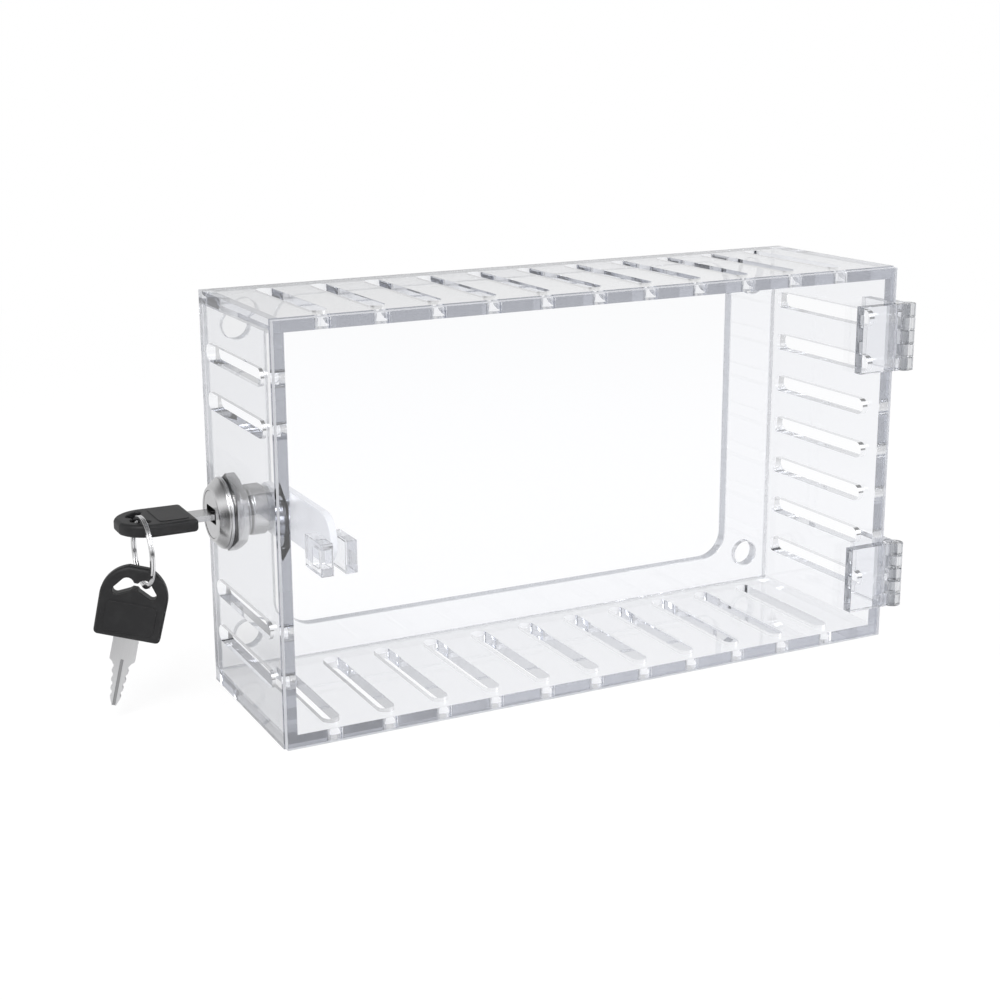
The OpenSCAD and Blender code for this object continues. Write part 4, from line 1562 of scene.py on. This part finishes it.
@dataclass
class SplitRing:
    """The split ring: flat wire wound twice, with one short step between its turns."""

    steel: bpy.types.Material
    coils: CoilTree
    lowest: Vector
    outer_r: float = 12.3 * MM
    wire_w: float = 1.7 * MM
    wire_h: float = 0.72 * MM
    wire_r: float = 0.2 * MM
    gap: float = 0.06 * MM
    turns: float = 1.87
    start: float = 24.0

    def build(self) -> None:
        """Winds the ring and stands it up across the key."""
        middle_r = self.outer_r - self.wire_w / 2
        ring = self.coils.wind(
            "split_ring_wire", self.steel, Radius=middle_r, Turns=self.turns, Height=0.0,
            Step=self.wire_h + self.gap, Wire_Width=self.wire_w, Wire_Height=self.wire_h,
            Wire_Corner=self.wire_r, Pitch=0.0, Turn_Points=120, Count=1)
        upright = Matrix(((0, 0, 1, 0), (-1, 0, 0, 0), (0, -1, 0, 0), (0, 0, 0, 1)))
        centre = self.lowest + Vector((0, 0, middle_r))
        turned = Matrix.Rotation(math.radians(self.start), 4, "Z")
        hand_over(ring, Body.KEY_RING, "split_ring", Trim(sharp=40.0),
                  stand=Matrix.Translation(centre) @ upright @ turned)


@dataclass
class Keys:
    """The key in the lock, the ring in its head and the spare key that hangs on the ring."""

    coils: CoilTree
    standoff: float = 12.0 * MM
    grip: Place = (2.8 * MM, 19.25 * MM, 0.0)
    spare_turns: tuple[tuple[float, str], ...] = ((-22, "Z"), (90, "X"), (-13, "Z"))

    def spare_stand(self, ring_low: Vector) -> Matrix:
        """Place of the spare key, which hangs on the ring's lowest point.

        Args:
            ring_low: the middle of the wire there.

        Returns:
            The matrix that stands the flat drawn key up.
        """
        stand = Matrix.Translation(ring_low)
        for degrees, axis in self.spare_turns:
            stand = stand @ Matrix.Rotation(math.radians(degrees), 4, axis)
        return stand @ Matrix.Translation(-Vector(self.grip))

    def build(self) -> None:
        """Makes the keys and the ring."""
        plastic = BlackMoulding("key plastic").material()
        # darker steel for the blades' grooves: painted shade
        groove = metal("steel with painted shade in the groove", 0.54, 0.4, 0.35)
        # Both blades are the same nickel plated steel: the key's is set darker as painted shade, the
        # spare's paler as painted light.
        steel = metal("nickel plated blade with painted shade", 0.66, 0.5, 0.24, Grain.DRAWN)
        ring_low = joint_place("spare_key_swing")
        stand = Matrix.Translation(LOCK_AT - Vector((self.standoff, 0, 0))) @ Matrix.Rotation(
            math.radians(90), 4, "Z")
        Key(steel, groove, plastic, "", Body.KEY, stand).build()
        stand = self.spare_stand(ring_low)
        steel = metal("nickel plated spare blade with painted light", 0.95, 0.86, 0.3, Grain.DRAWN,
                      along=tuple(stand.to_3x3() @ Vector((0.0, 1.0, 0.0))))
        Key(steel, groove, plastic, "spare_", Body.SPARE_KEY, stand).build()
        ring_steel = metal("bright ring steel", 0.86, 0.7, 0.14, depth=0.1)
        SplitRing(ring_steel, self.coils, ring_low).build()


@dataclass
class Studio:
    """A pale floor, a white backdrop, soft lamps and the camera of the photograph."""

    camera_at: Vector = field(default_factory=lambda: Vector((-292.5, -559.8, 152.8)) * MM)
    turn: float = -25.58
    rise: float = 13.88
    roll: float = -0.63
    lens: float = 61.69
    shift: Point = (0.0467, -0.0452)
    ambient: float = 0.8
    shadow_share: float = 0.2
    behind: float = 0.7
    behind_right: float = 0.9
    spot: Place = (-0.84, -0.47, -0.2)
    spot_depth: float = 0.92
    band_depth: float = 0.85
    ceiling: float = 0.2
    underside: float = 0.4
    floor_reach: float = 30.0
    floor_tone: Colour = (0.97, 0.97, 0.975)
    lamps: tuple[tuple[str, Place, float, float], ...] = (
        ("key lamp", (-0.9, -1.0, 1.3), 0.9, 16.0), ("side lamp", (1.3, -0.7, 0.7), 0.8, 6.0))

    def camera(self) -> None:
        """Sets up the camera."""
        data = bpy.data.cameras.new("camera")
        data.lens = self.lens
        data.shift_x, data.shift_y = self.shift
        data.clip_start = 0.01
        camera = new_piece("camera", data)
        across, up = math.radians(self.turn), math.radians(self.rise)
        back = Vector((math.sin(across) * math.cos(up), -math.cos(across) * math.cos(up), math.sin(up)))
        turned = back.to_track_quat("Z", "Y").to_matrix().to_4x4()
        camera.matrix_world = (
            Matrix.Translation(self.camera_at) @ turned @ Matrix.Rotation(math.radians(self.roll), 4, "Z"))
        bpy.context.scene.camera = camera

    def mirrored(self) -> bpy.types.NodeTree:
        """Builds the level of the studio's walls as mirrors show them.

        Returns:
            A node group from a direction to a level: greyer behind the box, dark steeply above and
            below, with a dark band at the camera's height and a dark spot to its left.
        """
        tree = bpy.data.node_groups.new("mirrored studio", "ShaderNodeTree")
        tree.interface.new_socket(name="Direction", in_out="INPUT", socket_type="NodeSocketVector")
        tree.interface.new_socket(name="Level", in_out="OUTPUT", socket_type="NodeSocketFloat")
        make = Wiring(tree)
        unit = make.vector("NORMALIZE", make.node("NodeGroupInput").outputs[0])
        way = make.node("SeparateXYZ", unit).outputs
        rear = make.ramp(way["Y"], -0.05, 0.45, 1.0, 0.0, True)
        least = make.ramp(way["X"], 0.25, 0.7, self.behind, self.behind_right, True)
        rear = make.ramp(rear, 0.0, 1.0, least)
        overhead = make.maths("MULTIPLY_ADD", make.ramp(way["Z"], 0.45, 0.7, 0.0, self.ceiling - 1, True),
                              make.ramp(way["Y"], -0.45, 0.0, 0.0, 1.0, True), 1.0)
        below = make.ramp(way["Z"], -0.9, -0.6, self.underside, 1.0, True)
        height = make.maths("ABSOLUTE", make.maths("SUBTRACT", way["Z"], 0.1))
        band = make.maths("MULTIPLY", make.ramp(height, 0.02, 0.22, 1.0, 0.0, True),
                          make.ramp(way["Y"], -0.5, -0.2, self.band_depth, 0.0, True))
        near = make.distance("DISTANCE", unit, Vector(self.spot).normalized())
        level = make.ramp(near, 0.2, 0.75, 1 - self.spot_depth, 1.0, True)
        for other in (rear, make.maths("SUBTRACT", 1.0, band), overhead, below):
            level = make.maths("MULTIPLY", level, other)
        make.node("NodeGroupOutput", level)
        return tree

    def world(self, mirrored: bpy.types.NodeTree) -> None:
        """Makes the world white where it is seen or seen through, and dimmer as a light.

        Args:
            mirrored: the level that mirrors show.
        """
        world = bpy.data.worlds.new("white")
        bpy.context.scene.world = world
        world.use_nodes = True
        world.node_tree.nodes.clear()
        make = Wiring(world.node_tree)
        path = make.node("LightPath").outputs
        ahead = make.node("NewGeometry").outputs["Position"]
        walls = make.node("Group", ahead, node_tree=mirrored).outputs[0]
        strength = make.between(path["Is Transmission Ray"], self.ambient, 1.0)
        strength = make.between(path["Is Camera Ray"], strength, 1.0)
        strength = make.between(make.maths("MINIMUM", path["Glossy Depth"], 1.0), strength, walls)
        light = make.node("Background", Color=opaque((1.0, 1.0, 1.0)), Strength=strength)
        make.node("OutputWorld", light.outputs[0])

    def floor(self, mirrored: bpy.types.NodeTree) -> None:
        """Lays the floor: white to the eye, with the soft shadow of what stands on it.

        Args:
            mirrored: the level that mirrors show.
        """
        reach = self.floor_reach
        mesh = bpy.data.meshes.new("floor")
        corners = box_loop((-reach, -reach), (reach, reach))
        mesh.from_pydata([(x, y, CAD_BOX[0][2] - 0.02 * MM) for x, y in corners], [], [(0, 1, 2, 3)])
        floor = new_piece("floor", mesh)
        shader = Shader("floor white")
        plain = shader.node("BsdfDiffuse", Color=opaque(self.floor_tone))
        path = shader.node("LightPath").outputs
        seen = shader.maths("MAXIMUM", path["Is Camera Ray"], path["Is Glossy Ray"])
        seen = shader.maths("MAXIMUM", seen, path["Is Transmission Ray"])
        where = shader.where()
        ahead = shader.vector("SUBTRACT", where, LOCK_AT)
        walls = shader.node("Group", ahead, node_tree=mirrored).outputs[0]
        in_mirror = shader.maths("MINIMUM", path["Glossy Depth"], 1.0)
        dimmed = shader.maths("MULTIPLY", in_mirror, shader.maths("SUBTRACT", 1.0, walls))
        white = shader.node("Emission", Color=opaque((1.0, 1.0, 1.0)),
                            Strength=shader.maths("SUBTRACT", 1.0, dimmed))
        fade = shader.ramp(shader.distance("LENGTH", where), 0.25, 0.9, 1 - self.shadow_share, 1.0, True)
        share = shader.maths("MULTIPLY", seen, fade)
        mesh.materials.append(shader.done(shader.either(share, plain, white)))

    def lamp(self, name: str, at: Place, size: float, watts: float) -> None:
        """Hangs one soft square lamp that faces the box.

        Args:
            name: the lamp's name.
            at: its place in metres.
            size: its side in metres.
            watts: its power.
        """
        data = bpy.data.lights.new(name, "AREA")
        data.size = size
        data.energy = watts
        turned = Vector(at).to_track_quat("Z", "Y").to_matrix().to_4x4()
        new_piece(name, data).matrix_world = Matrix.Translation(at) @ turned

    def build(self) -> None:
        """Builds the whole studio."""
        scene = bpy.context.scene
        scene.view_settings.view_transform = "Standard"
        scene.cycles.max_bounces = 32
        scene.cycles.glossy_bounces = 24
        scene.cycles.transmission_bounces = 32
        scene.cycles.transparent_max_bounces = 32
        self.camera()
        mirrored = self.mirrored()
        self.world(mirrored)
        self.floor(mirrored)
        for lamp in self.lamps:
            self.lamp(*lamp)


def main() -> None:
    """Builds the box piece by piece and keeps its sizes."""
    logging.basicConfig(level=logging.INFO, format="%(name)s: %(message)s")
    Studio().build()
    acrylic = ClearPlastic("clear acrylic sheet").material()
    door_acrylic = ClearPlastic("clear acrylic door", dimming=(4.0, 3.8, 3.2), broad_axis="Y",
                                painted_edge_shade=(0.9, 0.9, 0.92), matt_edges=0.8).material()
    back_acrylic = ClearPlastic("clear acrylic back", broad_axis="Y", painted_edge_shade=(0.86, 0.87, 0.89),
                                matt_edges=0.45).material()
    side_clear, door_clear = (
        ClearPlastic(f"clear {leaf} moulding", dimming=(9.0, 8.8, 8.0), broad_axis=axis).material()
        for leaf, axis in (("side leaf", "X"), ("door leaf", "Y")))
    bright, shade = (0.8, 0.8, 0.81), (0.6, 0.6, 0.61)
    plated = Metal("plated lock metal", bright, shade, 0.2, Grain.TURNED).material()
    threaded = HousingMetal("plated housing metal with painted shade", bright, shade, 0.22, Grain.TURNED).material()
    zinc = Metal("zinc plated steel", (0.72, 0.73, 0.75), (0.58, 0.59, 0.61), 0.3, depth=0.15).material()
    brass = Metal("stamped brass", (0.80, 0.63, 0.32), (0.66, 0.5, 0.23), 0.28, depth=0.2).material()
    # near black colour for the keyway's inside: painted shade
    keyway_shade = Metal("shade in the keyway", (0.05, 0.05, 0.05), (0.02, 0.02, 0.02), 0.5).material()
    cam_plastic = PaleMoulding("cam plastic").material()
    coils, plain = CoilTree(), CutSheetTree("plain sheet", False)
    Case(acrylic, back_acrylic, plain).build()
    Door(door_acrylic, acrylic, plain).build()
    Hinges(side_clear, door_clear).build()
    CamLock(plated, threaded, zinc, brass, cam_plastic, keyway_shade, coils).build()
    Keys(coils).build()


if __name__ == "__main__":
    main()
